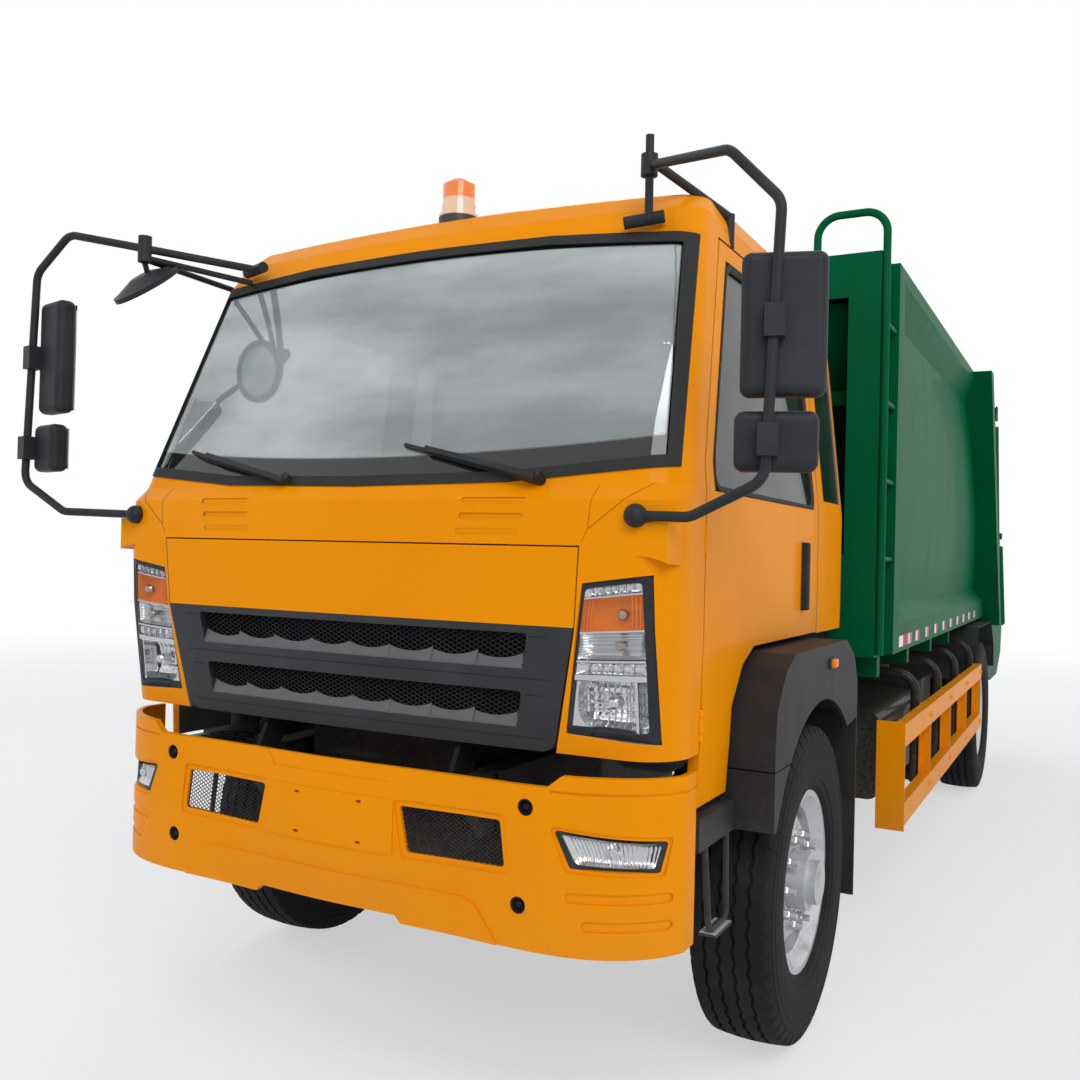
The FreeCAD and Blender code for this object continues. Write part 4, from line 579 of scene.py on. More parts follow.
class Coat(Enum):
    """The finishes by the record's slot, and the few that only single nodes or small pieces use."""

    ORANGE = Paint("orange_enamel", (0.87, 0.285, 0.0), (0.79, 0.245, 0.0))
    CAB = CabPaint("cab_enamel", (0.87, 0.285, 0.0), (0.79, 0.245, 0.0))
    GREEN = Paint("green_enamel", (0.0, 0.108, 0.040), (0.0, 0.082, 0.030), 0.42, 0.03, 0.1)
    BLACK = Paint("chassis_enamel", (0.016, 0.016, 0.018), (0.03, 0.028, 0.026), 0.42, 0.2, 0.5, 1.4)
    TRIM = Plastic("dark_trim", (0.022, 0.023, 0.026), 0.42)
    GRILLE = GrillePlastic("grille_plastic", (0.022, 0.023, 0.026), 0.42)
    ARCH = Plastic("arch_plastic", (0.020, 0.020, 0.022), 0.5, 700.0, 0.0006, 0.16)
    DASH = Plastic("dash_plastic", (0.035, 0.036, 0.038), 0.6, 600.0, 0.0005, 0.0)
    # painted shade: a near-black finish whose darkness stands for the shade inside pockets and holes
    SHADOW = Plastic("pocket_painted_shade", (0.008, 0.008, 0.008), 0.5, 500.0, 0.0002, 0.0)
    TAPE_WHITE = Plastic("tape_white", (0.72, 0.73, 0.74), 0.3, 260.0, 0.0005, 0.1)
    TAPE_RED = Plastic("tape_red", (0.50, 0.008, 0.008), 0.3, 260.0, 0.0005, 0.1)
    TYRE = Rubber("tyre_tread_rubber")
    FLAP = Rubber("flap_sheet_rubber", (0.022, 0.022, 0.022), (0.06, 0.056, 0.05), 0.65, 0.4)
    SILVER = Metal("wheel_silver", (0.62, 0.63, 0.65), 0.36, 0.65, 0.45)
    STEEL = Metal("bright_steel", (0.62, 0.63, 0.64), 0.22, 1.0, 0.2)
    CHROME = Metal("lamp_chrome", (0.66, 0.67, 0.69), 0.06, 1.0, 0.02)
    BULB = Metal("bulb_cap", (0.40, 0.34, 0.28), 0.14, 1.0, 0.0)
    MIRROR = Metal("mirror_silvering", (0.60, 0.62, 0.64), 0.015, 1.0, 0.0)
    GLASS = Glass("window_glass", (0.012, 0.018, 0.018), 0.015, 0.5, 0.06, 0.4, 0.4)
    SCREEN = Screen("windscreen_glass", (0.012, 0.018, 0.018), 0.02, 0.64, 0.08)
    LENS = Glass("lamp_lens", (0.30, 0.31, 0.32), 0.03, 0.05, 0.01, 0.6, 1.0)
    AMBER = Glass("amber_lens", (0.80, 0.20, 0.0), 0.2, 1.0, 0.0, 0.05, 0.06)
    LAMP_RED = Glass("red_lens", (0.50, 0.004, 0.004), 0.16, 1.0, 0.02, 0.3, 0.25)
    LAMP_WHITE = Glass("white_lens", (0.75, 0.76, 0.78), 0.12, 1.0, 0.02)
    BEACON = BeaconDome("beacon_dome")
    CLOTH = Fabric("seat_weave", (0.045, 0.047, 0.052))

    def material(self) -> bpy.types.Material:
        """The finish's one material, made the first time it is asked for."""
        return bpy.data.materials.get(self.value.name) or self.value.build()


SLOT_COATS = {
    "orange_paint": Coat.ORANGE, "green_paint": Coat.GREEN, "chassis_black": Coat.BLACK,
    "silver_paint": Coat.SILVER, "dark_plastic": Coat.TRIM, "tyre_rubber": Coat.TYRE,
    "flap_rubber": Coat.FLAP, "clear_glass": Coat.GLASS, "lamp_glass": Coat.LENS,
    "beacon_amber": Coat.AMBER, "steel": Coat.STEEL, "seat_fabric": Coat.CLOTH}
NODE_COATS = {
    "cab_shell": Coat.CAB, "door_left": Coat.CAB, "door_right": Coat.CAB, "windscreen": Coat.SCREEN,
    "grille_frame": Coat.GRILLE, "dashboard": Coat.DASH, "lower_arches": Coat.ARCH,
    "upper_arches": Coat.ARCH, "beacon": Coat.BEACON}


def dress_frame() -> None:
    """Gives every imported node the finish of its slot, or its own where one is named."""
    for name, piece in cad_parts.items():
        for slot in piece.material_slots:
            label = slot.material.name.split(".")[0] if slot.material else ""
            coat = NODE_COATS.get(name) or SLOT_COATS.get(label, Coat.TRIM)
            slot.material = coat.material()
        LOG.info("dressed %s", name)


@dataclass
class Shell:
    """One closed surface, or several: its points and its four-sided faces."""

    points: np.ndarray
    faces: np.ndarray

    @classmethod
    def from_grid(cls, grid: np.ndarray, close_rows: bool = False, caps: bool = False) -> "Shell":
        """Joins each point of a grid to its neighbours, the last of a row to the first, and turns the
        faces outwards.

        The volume is the sum over the faces of a point times the cross product of the next two. Where it
        comes out negative, the faces are turned round.

        Args:
            grid: points by row and column.
            close_rows: whether the last row joins the first.
            caps: whether each end row is closed by a fan about its middle.

        Returns:
            The shell.
        """
        if caps:
            ends = [np.repeat(row.mean(axis=0)[None, None], grid.shape[1], 1) for row in (grid[0], grid[-1])]
            grid = np.concatenate([ends[0], grid, ends[1]])
        rows, columns = grid.shape[:2]
        r, c = np.meshgrid(np.arange(rows if close_rows else rows - 1), np.arange(columns), indexing="ij")
        after, beside = (r + 1) % rows, (c + 1) % columns
        corners = (r, c), (r, beside), (after, beside), (after, c)
        faces = np.stack([row * columns + column for row, column in corners], -1).reshape(-1, 4)
        points = grid.reshape(-1, 3)
        a, b, p, q = (points[faces[:, k]] - points.mean(axis=0) for k in range(4))
        volume = np.sum(a * np.cross(b, p)) + np.sum(a * np.cross(p, q))
        return cls(points, faces[:, ::-1] if volume < 0 else faces)

    @classmethod
    def slab(cls, front: np.ndarray, back: np.ndarray) -> "Shell":
        """A sheet with thickness: each row runs along the front and returns along the back."""
        return cls.from_grid(np.concatenate([front, back[:, ::-1]], axis=1), caps=True)

    @classmethod
    def carried(cls, rows: Sequence[tuple], **closing: bool) -> "Shell":
        """A surface from rows of x, y and z, of which any may be one number for its whole row."""
        return cls.from_grid(np.stack([np.stack(np.broadcast_arrays(*row), -1) for row in rows]), **closing)

    @classmethod
    def lathe(cls, profile: Sequence[tuple], place: Sequence[float], axis: str, sides: int) -> "Shell":
        """A profile turned about an axis: a point is the place, plus its height along the axis, plus its
        radius times the cosine and sine of the angle across it.

        Args:
            profile: radius and height of each ring, from pole to pole.
            place: where the axis starts.
            axis: x, y or z.
            sides: how many steps the turn has.

        Returns:
            The shell.
        """
        shape = np.asarray(profile, float)
        angle = np.linspace(0, FULL_TURN, sides, endpoint=False)
        rounds = np.outer(shape[:, 0], np.cos(angle)), np.outer(shape[:, 0], np.sin(angle))
        along = np.repeat(shape[:, 1:2], sides, 1)
        order = {"x": (along, *rounds), "y": (rounds[0], along, rounds[1]), "z": (*rounds, along)}[axis]
        return cls.from_grid(np.stack(order, -1) + np.asarray(place, float))

    def mirrored(self) -> "Shell":
        """The same on the other side: x changes sign, and the faces are turned to point outwards."""
        return Shell(self.points * (-1, 1, 1), self.faces[:, ::-1])

    def copies(self, moves: np.ndarray) -> "Shell":
        """One copy for each row of moves, which is added to every point.

        Args:
            moves: a shift for each copy.

        Returns:
            All the copies as one.
        """
        starts = np.arange(len(moves))[:, None, None] * len(self.points)
        return Shell((self.points + moves[:, None]).reshape(-1, 3), (self.faces + starts).reshape(-1, 4))

    def turned(self, turn: Matrix) -> "Shell":
        """Moved by a 4 by 4 matrix, which doesn't mirror."""
        matrix = np.array(turn)
        return Shell(self.points @ matrix[:3, :3].T + matrix[:3, 3], self.faces)


def join(shells: Sequence[Shell]) -> Shell:
    """Several shells as one, each one's face numbers raised by the points before it."""
    starts = np.cumsum([0] + [len(shell.points) for shell in shells[:-1]])
    return Shell(np.concatenate([shell.points for shell in shells]),
                 np.concatenate([shell.faces + start for shell, start in zip(shells, starts)]))


def both_sides(*shells: Shell) -> list:
    """The shells of the truck's left side, and their mirror images."""
    return [*shells, *(shell.mirrored() for shell in shells)]


def make_piece(name: str, shells: Sequence[Shell], coat: Coat, body: str,
               replaces: Sequence[str] = (), crease: float = 32.0) -> bpy.types.Object:
    """Puts shells into one Blender object that rides on a body.

    Args:
        name: the piece's name.
        shells: its closed surfaces.
        coat: its finish.
        body: the body that it moves with.
        replaces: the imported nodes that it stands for.
        crease: edges sharper than this many degrees stay sharp.

    Returns:
        The object.
    """
    shell = join(shells)
    mesh = bpy.data.meshes.new(name)
    mesh.from_pydata(shell.points.tolist(), [], shell.faces.tolist())
    book = bmesh.new()
    book.from_mesh(mesh)
    bmesh.ops.remove_doubles(book, verts=book.verts, dist=1e-6)
    book.to_mesh(mesh)
    book.free()
    mesh.shade_smooth()
    mesh.set_sharp_from_angle(angle=math.radians(crease))
    mesh.materials.append(coat.material())
    made = bpy.data.objects.new(name, mesh)
    bpy.context.scene.collection.objects.link(made)
    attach(made, body)
    if replaces:
        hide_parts(*replaces)
    LOG.info("made %s", name)
    return made


def rectangle(half_wide: float, half_high: float, x: float = 0.0, y: float = 0.0) -> list:
    """The corners of a rectangle about a middle, from low left round by low right."""
    return [(x + i * half_wide, y + j * half_high) for i, j in ((-1, -1), (1, -1), (1, 1), (-1, 1))]


def rounded_loop(corners: Corners, radius: float, steps: int = 6) -> np.ndarray:
    """An outline with rounded corners: each corner is a quadratic curve, (1-t)^2 a + 2t(1-t) c + t^2 b.

    Args:
        corners: the sharp corners, in order.
        radius: how far from the corner its curve starts.
        steps: how many points a corner has.

    Returns:
        The outline's points.
    """
    c = np.asarray(corners, float)
    to_last, to_next = np.roll(c, 1, 0) - c, np.roll(c, -1, 0) - c
    a = c + to_last / np.linalg.norm(to_last, axis=1, keepdims=True) * radius
    b = c + to_next / np.linalg.norm(to_next, axis=1, keepdims=True) * radius
    t = np.linspace(0, 1, steps)[None, :, None]
    return ((1 - t) ** 2 * a[:, None] + 2 * t * (1 - t) * c[:, None] + t ** 2 * b[:, None]).reshape(-1, 2)


def between(corners: Corners, u: np.ndarray, v: np.ndarray) -> np.ndarray:
    """Places in a four-cornered outline: (1-u)(1-v) a + u(1-v) b + uv c + (1-u)v d.

    Args:
        corners: low left, low right, high right and high left.
        u: the share of the way across.
        v: the share of the way up.

    Returns:
        The places, their two coordinates last.
    """
    a, b, c, d = np.asarray(corners, float)
    u, v = np.asarray(u)[..., None], np.asarray(v)[..., None]
    return (1 - u) * (1 - v) * a + u * (1 - v) * b + u * v * c + (1 - u) * v * d


def quad_grid(corners: Corners, rows: int, columns: int) -> tuple:
    """A grid of places in a four-cornered outline.

    Args:
        corners: low left, low right, high right and high left.
        rows: how many rows there are.
        columns: how many points a row has.

    Returns:
        The two coordinates, u and v, all as grids.
    """
    v, u = np.meshgrid(np.linspace(0, 1, rows), np.linspace(0, 1, columns), indexing="ij")
    places = between(corners, u, v)
    return places[..., 0], places[..., 1], u, v


def loop_ring(outer: np.ndarray, inner: np.ndarray, face: Face, depth: float) -> Shell:
    """A flat frame between two outlines in x and z: its section is a rectangle carried round them, from
    the face y(x, z) to a depth behind it.

    Args:
        outer: the outer outline.
        inner: the inner outline, with as many points.
        face: gives y for x and z.
        depth: how far it reaches behind the face.

    Returns:
        The frame.
    """
    return Shell.carried([(x, face(x, z) + back, z) for (x, z), back in (
        (outer.T, 0.0), (inner.T, 0.0), (inner.T, depth), (outer.T, depth))], close_rows=True)


def face_slab(corners: Corners, face: Face, thickness: float, rows: int, columns: int,
              back: Union[Relief, float]) -> Shell:
    """A sheet over a four-cornered outline: y is the face's, plus how far back the sheet lies.

    Args:
        corners: low left, low right, high right and high left, in x and z.
        face: gives y for x and z.
        thickness: the sheet's thickness.
        rows: rows of the grid.
        columns: points in a row.
        back: how far back it lies, as one number or worked out from u, v, x and z.

    Returns:
        The sheet.
    """
    x, z, u, v = quad_grid(corners, rows, columns)
    front = np.stack([x, face(x, z) + (back(u, v, x, z) if callable(back) else back), z], -1)
    return Shell.slab(front, front + (0, thickness, 0))


def grille_face(x: np.ndarray, z: np.ndarray) -> np.ndarray:
    """y of the grille's front: a plane that leans back, bowed by the square of x."""
    return -3.8161 + 0.034 * x ** 2 - 0.126 * (z - 1.2)


def hood_face(x: np.ndarray, z: np.ndarray) -> np.ndarray:
    """y of the hood's front under the windscreen: a plane that leans back, bowed by the square of x."""
    return -3.82859 + 0.03492 * x ** 2 - 0.05518 * (z - 1.2)


def bumper_face(x: np.ndarray, z: np.ndarray) -> np.ndarray:
    """y of the bumper's front beyond x = 0.25: a quartic in the distance from x = 0.6."""
    u = np.abs(x) - 0.6
    return -3.8770 + 0.0217 * u + 0.2552 * u ** 2 + 1.6035 * u ** 3 + 2.7325 * u ** 4


def lamp_face(x: np.ndarray, z: np.ndarray) -> np.ndarray:
    """y of the cab's front over a headlamp: a cubic in x about 0.8 and a square in z about 1.3."""
    u, w = np.abs(x) - 0.8, z - 1.3
    return (-3.8056 + 0.0123 * u + 0.5358 * u ** 2 + 11.014 * u ** 3
            - 0.1075 * w + 0.1341 * w ** 2 - 0.0323 * u * w)


@dataclass
class Tyre:
    """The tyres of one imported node, with a ribbed road tread and a stepped side wall."""

    node: str
    body: str
    middles: tuple
    y: float
    radius: float = AXLE_HEIGHT
    half: float = 0.1295
    pitches: int = 52
    grooves: tuple = (-0.066, -0.022, 0.022, 0.066)
    groove_steps: tuple = ((-1.25, 0.0), (-0.8, 1.0), (0.8, 1.0), (1.25, 0.0))
    groove_half: float = 0.0042
    groove_depth: float = 0.011
    edge: float = 0.088
    drop: float = 0.0075
    drop_reach: float = 0.104
    sway: float = 0.0042
    notch: float = 0.007
    notch_span: tuple = (0.34, 0.66)
    phase: tuple = (0.0, 0.16, 0.33, 0.36, 0.5, 0.64, 0.67, 0.84)
    wall: tuple = ((0.66, 0.284), (0.8, 0.293), (0.9, 0.309), (0.92, 0.326), (0.952, 0.331), (0.962, 0.344),
                   (0.99, 0.366), (1.0, 0.385), (0.997, 0.405), (0.988, 0.425), (0.997, 0.4275),
                   (0.995, 0.434), (0.981, 0.4365), (0.972, 0.452), (0.985, 0.4545), (0.978, 0.4605),
                   (0.958, 0.463))
    shoulder: tuple = ((0.945, 0.474, 1.0), (0.915, 0.486, 1.0), (0.88, 0.4945, 1.0), (0.845, 0.4995, 1.0),
                       (0.80, 0.5015, 0.0))

    def outline(self) -> np.ndarray:
        """The section from bead to bead, whose crown drops by the square of the distance from its middle.

        Returns:
            x, radius, share of the grooves' sway and share of the notches, for each point.
        """
        side = [(x * self.half, r, 0.0, 0.0) for x, r in self.wall]
        side += [(x * self.half, r, 0.0, n) for x, r, n in self.shoulder]
        left = [(-x, *rest) for x, *rest in side]
        tread = [(x + step * self.groove_half, low) for x in self.grooves for step, low in self.groove_steps]
        crown = [(x, self.radius - self.drop * (x / self.drop_reach) ** 2 - low * self.groove_depth, 1.0, 0.0)
                 for x, low in ((-self.edge, 0.0), *tread, (self.edge, 0.0))]
        return np.array(left + crown + side[::-1])

    def shell(self, middle: float) -> Shell:
        """One tyre: the section is turned about the axle, its grooves sway as a triangle wave of the
        angle, and its shoulder drops where the wave is in the notch.

        Args:
            middle: x of the tyre's middle.

        Returns:
            The closed tyre.
        """
        x, radius, sway, notch = self.outline().T
        part = np.tile(self.phase, self.pitches)
        angle = (np.repeat(np.arange(self.pitches), len(self.phase)) + part) / self.pitches * FULL_TURN
        wave = (np.abs(part - 0.5) * 4 - 1) * self.sway
        low = ((part > self.notch_span[0]) & (part < self.notch_span[1])) * self.notch
        across = middle + x + wave[:, None] * sway
        reach = radius - low[:, None] * notch
        return Shell.from_grid(np.stack([across, self.y + reach * np.cos(angle)[:, None],
                                         self.radius + reach * np.sin(angle)[:, None]], -1), close_rows=True)

    def build(self) -> None:
        """Makes the node's tyres."""
        make_piece(f"{self.node}_tread", [self.shell(x) for x in self.middles], Coat.TYRE, self.body,
                   [self.node], 24.0)


@dataclass
class WheelNuts:
    """Ten nuts and washers on each wheel's studs."""

    circle: float = 0.1429
    count: int = 10
    nut: tuple = ((0, 0.004), (0.0175, 0.004), (0.0175, 0.021), (0.01505, 0.026), (0, 0.026))
    washer: tuple = ((0, 0), (0.0225, 0), (0.0225, 0.0035), (0.02, 0.005), (0, 0.005))
    seats: tuple = (("wheel_front", 1.012, FRONT_AXLE), ("wheels_rear", 0.912, REAR_AXLE))

    def build(self) -> None:
        """Makes the nuts of the four wheel bodies: six-sided lathe shapes at even angles about the axle."""
        angle = np.arange(self.count) * FULL_TURN / self.count
        spots = np.stack([0 * angle, np.cos(angle) * self.circle, np.sin(angle) * self.circle], 1)
        for body, x, y in self.seats:
            left = [Shell.lathe(profile, (x, y, AXLE_HEIGHT), "x", sides).copies(spots)
                    for profile, sides in ((self.nut, 6), (self.washer, 20))]
            for side, shells in (("left", left), ("right", [shell.mirrored() for shell in left])):
                make_piece(f"{body}_{side}_nuts", shells, Coat.STEEL, f"{body}_{side}")


@dataclass
class Lattice:
    """Expanded metal: flat-topped zigzag strands whose crests touch the next strand's troughs."""

    name: str
    node: str
    body: str
    face: Face
    windows: tuple
    mirrored: bool
    cell: float
    spacing: float
    strand: float
    recess: float
    zigzag: tuple = ((0.1, 1.0), (0.4, -1.0), (0.6, -1.0), (0.9, 1.0))

    def window(self, corners: Corners) -> list:
        """The strands over a four-cornered window: along u each point's height v changes sign at every
        second point, and every other strand starts the other way. A strand's section is a diamond.

        Args:
            corners: low left, low right, high right and high left, in x and z.

        Returns:
            One shell for each strand.
        """
        c = np.asarray(corners, float)
        cells = round(np.linalg.norm(c[1] - c[0]) / self.cell)
        lines = round(np.linalg.norm(c[3] - c[0]) / self.spacing)
        phase, sign = np.array(self.zigzag).T
        u = np.concatenate([[0.0], (np.repeat(np.arange(cells), 4) + np.tile(phase, cells)) / cells, [1.0]])
        sign = np.pad(np.tile(sign, cells), 1, mode="edge")
        s = self.strand
        diamond = np.array([(0, -s, 0), (0, 0, s), (0, s, 0), (0, 0, -s)])
        shells = []
        for k in range(lines):
            x, z = between(c, u, (k + 0.5 + sign * (0.5 if k % 2 else -0.5)) / lines).T
            line = np.stack([x, self.face(x, z) + self.recess, z], -1)
            shells.append(Shell.from_grid(line[:, None] + diamond, caps=True))
        return shells

    def build(self) -> None:
        """Makes the strands of all its windows."""
        strands = [strand for corners in self.windows for strand in self.window(corners)]
        make_piece(self.name, both_sides(*strands) if self.mirrored else strands, Coat.TRIM, self.body,
                   [self.node], 60.0)


@dataclass(frozen=True)
class Bowl:
    """A reflector, as shares of its lamp's opening: a rounded box, 1 - |2u-1|^6 times the same in v, with
    a sine of v as its ripples."""

    low: float
    high: float
    depth: float
    base: float
    ripple: float
    count: float
    rows: int
    columns: int
    left: float = 0.0
    right: float = 1.0

    def back(self, u: np.ndarray, v: np.ndarray, x: np.ndarray, z: np.ndarray) -> np.ndarray:
        """How far back it lies."""
        hollow = (1 - np.abs(2 * u - 1) ** 6) * (1 - np.abs(2 * v - 1) ** 6)
        return self.base + hollow * (self.depth + self.ripple * np.sin(v * self.count * FULL_TURN))


@dataclass
class Headlamps:
    """The stacked lamps at the cab's corners: indicator, position lamp, strip and main beam.

    Their levels are shares of the opening's height, and the places across are shares of its width.
    """

    corners: tuple = ((0.6905, 1.1002), (0.9335, 1.0885), (0.9235, 1.5135), (0.7425, 1.4875))
    opening: tuple = ((0.6975, 1.1130), (0.9080, 1.1110), (0.8990, 1.4950), (0.7475, 1.4740))
    casing: float = 0.084
    bars: tuple = ((0.352, 0.392), (0.478, 0.492), (0.682, 0.694), (0.925, 0.937))
    side_bowl: Bowl = Bowl(0.01, 0.345, 0.03, 0.012, 0.002, 5.0, 40, 12, 0.885)
    bowls: tuple = (Bowl(0.5, 0.68, 0.03, 0.010, 0.0022, 9.0, 60, 40),
                    Bowl(0.395, 0.475, 0.016, 0.010, 0.001, 2.0, 12, 30),
                    Bowl(0.94, 1.0, 0.014, 0.008, 0.0, 0.0, 8, 30))
    amber_bowl: Bowl = Bowl(0.694, 0.925, 0.026, 0.007, 0.0016, 3.0, 40, 50)
    cells: tuple = (0.16, 0.32, 0.48, 0.64, 0.8)
    ticks: tuple = (0.12, 0.26, 0.4, 0.54, 0.68, 0.82)
    ribs: tuple = (0.04, 0.10, 0.16, 0.82, 0.88, 0.94)
    beam: tuple = (0.812, 1.186)
    beam_reach: tuple = (0.088, 0.070)
    facet: tuple = (0.0165, 0.021)
    cap: tuple = ((0, 0), (0.010, 0.002), (0.0155, 0.008), (0.017, 0.016), (0.017, 0.042), (0, 0.042))
    bulb: tuple = ((0, 0), (0.7, 0.003), (1.0, 0.009), (0.8, 0.02), (0.6, 0.03), (0, 0.03))
    bulbs: tuple = ((0.62, 0.59, 0.013), (0.66, 0.80, 0.015))
    hole: tuple = ((0, 0), (0.005, 0), (0.0052, 0.002), (0, 0.002))
    holes: tuple = ((0.76, 1.1045), (0.842, 1.1015))

    def cut(self, low: float, high: float, left: float = 0.0, right: float = 1.0) -> np.ndarray:
        """The corners of the part of the opening between two levels and two places across."""
        return between(self.opening, [left, right, right, left], [low, low, high, high])

    def bowl(self, form: Bowl) -> Shell:
        """One reflector of the lamp."""
        return face_slab(self.cut(form.low, form.high, form.left, form.right), lamp_face, 0.002, form.rows,
                         form.columns, form.back)

    def row(self, starts: tuple, low: float, high: float, width: float, thickness: float, rows: int,
            back: float) -> list:
        """Upright ribs, one from each start.

        Args:
            starts: where they start across the opening.
            low: the level of their feet.
            high: the level of their heads.
            width: how wide each one is, as a share.
            thickness: how thick they are.
            rows: rows of each one's grid.
            back: how far behind the face they lie.

        Returns:
            The ribs.
        """
        return [face_slab(self.cut(low, high, u, u + width), lamp_face, thickness, rows, 3, back)
                for u in starts]

    def beam_back(self, u: np.ndarray, v: np.ndarray, x: np.ndarray, z: np.ndarray) -> np.ndarray:
        """How far back the main reflector lies: a rounded dish, the root of 1.12 - |x/a|^3 - |z/b|^3 about
        the bulb, in facets that are triangle waves of x and z.

        Args:
            u: the share of the way across; not used.
            v: the share of the way up; not used.
            x: the place across.
            z: the height.

        Returns:
            The distances.
        """
        spans = zip((x, z), self.beam, self.beam_reach)
        reach = sum(np.abs((at - middle) / far) ** 3 for at, middle, far in spans)
        dish = np.clip(1.12 - reach, 0, 1)
        facet = np.abs((x / self.facet[0]) % 1 - 0.5) + 0.6 * np.abs((z / self.facet[1]) % 1 - 0.5)
        return 0.012 + 0.056 * np.sqrt(dish) + 0.009 * facet * (dish > 0)

    def build(self) -> None:
        """Makes both lamps, from the casing outwards to the cover."""
        outer, inner = rounded_loop(self.corners, 0.014), rounded_loop(self.opening, 0.012)
        bezel = loop_ring(outer, inner, lamp_face, 0.080)
        back = face_slab(self.corners, lamp_face, 0.003, 10, 10, self.casing)
        make_piece("lamp_bezels", both_sides(bezel, back), Coat.TRIM, "cab")
        bars = [face_slab(self.cut(low, high), lamp_face, 0.03, 3, 30, 0.004) for low, high in self.bars]
        wall = face_slab(self.cut(0.01, 0.352, 0.85, 0.88), lamp_face, 0.05, 20, 3, 0.006)
        beam = face_slab(self.cut(0.02, 0.345, 0.02, 0.84), lamp_face, 0.002, 60, 72, self.beam_back)
        x, z = self.beam
        cap = Shell.lathe(self.cap, (x, lamp_face(x, z) + 0.012, z), "y", 28)
        make_piece("lamp_reflectors", both_sides(
            *bars, wall, self.bowl(self.side_bowl), beam, *(self.bowl(form) for form in self.bowls),
            *self.row(self.cells, 0.4, 0.47, 0.012, 0.014, 4, 0.006),
            *self.row(self.ticks, 0.945, 0.995, 0.012, 0.012, 4, 0.005), cap),
            Coat.CHROME, "cab", crease=26.0)
        ribs = self.row(self.ribs, 0.70, 0.92, 0.014, 0.004, 12, 0.0055)
        make_piece("lamp_indicators", both_sides(self.bowl(self.amber_bowl), *ribs), Coat.AMBER, "cab",
                   crease=30.0)
        bulbs = []
        for u, v, radius in self.bulbs:
            x, z = between(self.opening, u, v)
            profile = [(share * radius, height) for share, height in self.bulb]
            bulbs.append(Shell.lathe(profile, (x, lamp_face(x, z) + 0.009, z), "y", 24))
        make_piece("lamp_bulbs", both_sides(*bulbs), Coat.BULB, "cab")
        cover = face_slab(self.opening, lamp_face, 0.0025, 40, 30, 0.0012)
        make_piece("lamp_covers", both_sides(cover), Coat.LENS, "cab", ["headlamps"])
        # painted shade: thin near-black discs on the face stand for the shade inside the bracket's holes
        holes = [Shell.lathe(self.hole, (x, lamp_face(x, 1.1) - 0.0005, z), "y", 16) for x, z in self.holes]
        make_piece("lamp_bracket_holes", both_sides(*holes), Coat.SHADOW, "cab")


@dataclass
class FogLamps:
    """The lamps in the bumper's corners."""

    corners: tuple = ((0.7435, 0.7795), (0.9375, 0.7705), (0.9515, 0.8475), (0.6995, 0.8715))
    opening: tuple = ((0.7540, 0.7885), (0.9270, 0.7800), (0.9390, 0.8395), (0.7160, 0.8610))
    recess: float = 0.006
    flutes: int = 22
    bulb: tuple = (0.84, 0.817)
    cap: tuple = ((0, 0), (0.012, 0.003), (0.016, 0.012), (0, 0.012))

    def face(self, x: np.ndarray, z: np.ndarray) -> np.ndarray:
        """y of the lamp's front, a little behind the bumper's."""
        return bumper_face(x, z) + self.recess

    def bowl_back(self, u: np.ndarray, v: np.ndarray, x: np.ndarray, z: np.ndarray) -> np.ndarray:
        """How far back the reflector lies: a shallow rounded box with upright flutes, a sine of u."""
        hollow = (1 - np.abs(2 * u - 1) ** 8) * (1 - np.abs(2 * v - 1) ** 4)
        return 0.010 + hollow * (0.018 + 0.0016 * np.sin(u * self.flutes * FULL_TURN))

    def build(self) -> None:
        """Makes both lamps: a frame, a fluted reflector, a bulb's cap and a cover."""
        outer, inner = rounded_loop(self.corners, 0.010), rounded_loop(self.opening, 0.008)
        ring = loop_ring(outer, inner, self.face, 0.034)
        make_piece("fog_lamp_frames", both_sides(ring), Coat.TRIM, "chassis")
        bowl = face_slab(self.opening, self.face, 0.002, 20, 140, self.bowl_back)
        x, z = self.bulb
        cap = Shell.lathe(self.cap, (x, self.face(x, z) + 0.012, z), "y", 24)
        make_piece("fog_reflectors", both_sides(bowl, cap), Coat.CHROME, "chassis", crease=26.0)
        cover = face_slab(self.opening, self.face, 0.0025, 8, 30, 0.002)
        make_piece("fog_covers", both_sides(cover), Coat.LENS, "chassis", ["fog_lamps"])


@dataclass
class BumperBolts:
    """Sockets with a bolt's head in the bumper's four round pockets, painted near black as the shade in them.
    """

    places: tuple = ((0.624, 0.919), (0.609, 0.670))
    cup: tuple = ((0, 0.012), (0.014, 0.012), (0.018, 0.001), (0.0218, 0.001), (0.0218, 0.018), (0, 0.018))
    head: tuple = ((0, 0.004), (0.008, 0.004), (0.010, 0.006), (0.010, 0.013), (0, 0.013))

    def build(self) -> None:
        """Makes the sockets, each a round cup with a six-sided head in it, both in painted shade."""
        shells = [Shell.lathe(profile, (x, bumper_face(x, z), z), "y", sides)
                  for x, z in self.places for profile, sides in ((self.cup, 32), (self.head, 6))]
        make_piece("bumper_sockets", both_sides(*shells), Coat.SHADOW, "chassis")


@dataclass(frozen=True)
class MirrorHead:
    """One housing's glass: its level, its height, and how far it reaches towards the cab and away."""

    z: float
    height: float
    inside: float
    outside: float


@dataclass(frozen=True)
class MirrorArm:
    """A mirror's bar through two points, the degrees that its heads are turned by, and its heads."""

    low: tuple
    high: tuple
    turn: float
    side: int
    heads: tuple


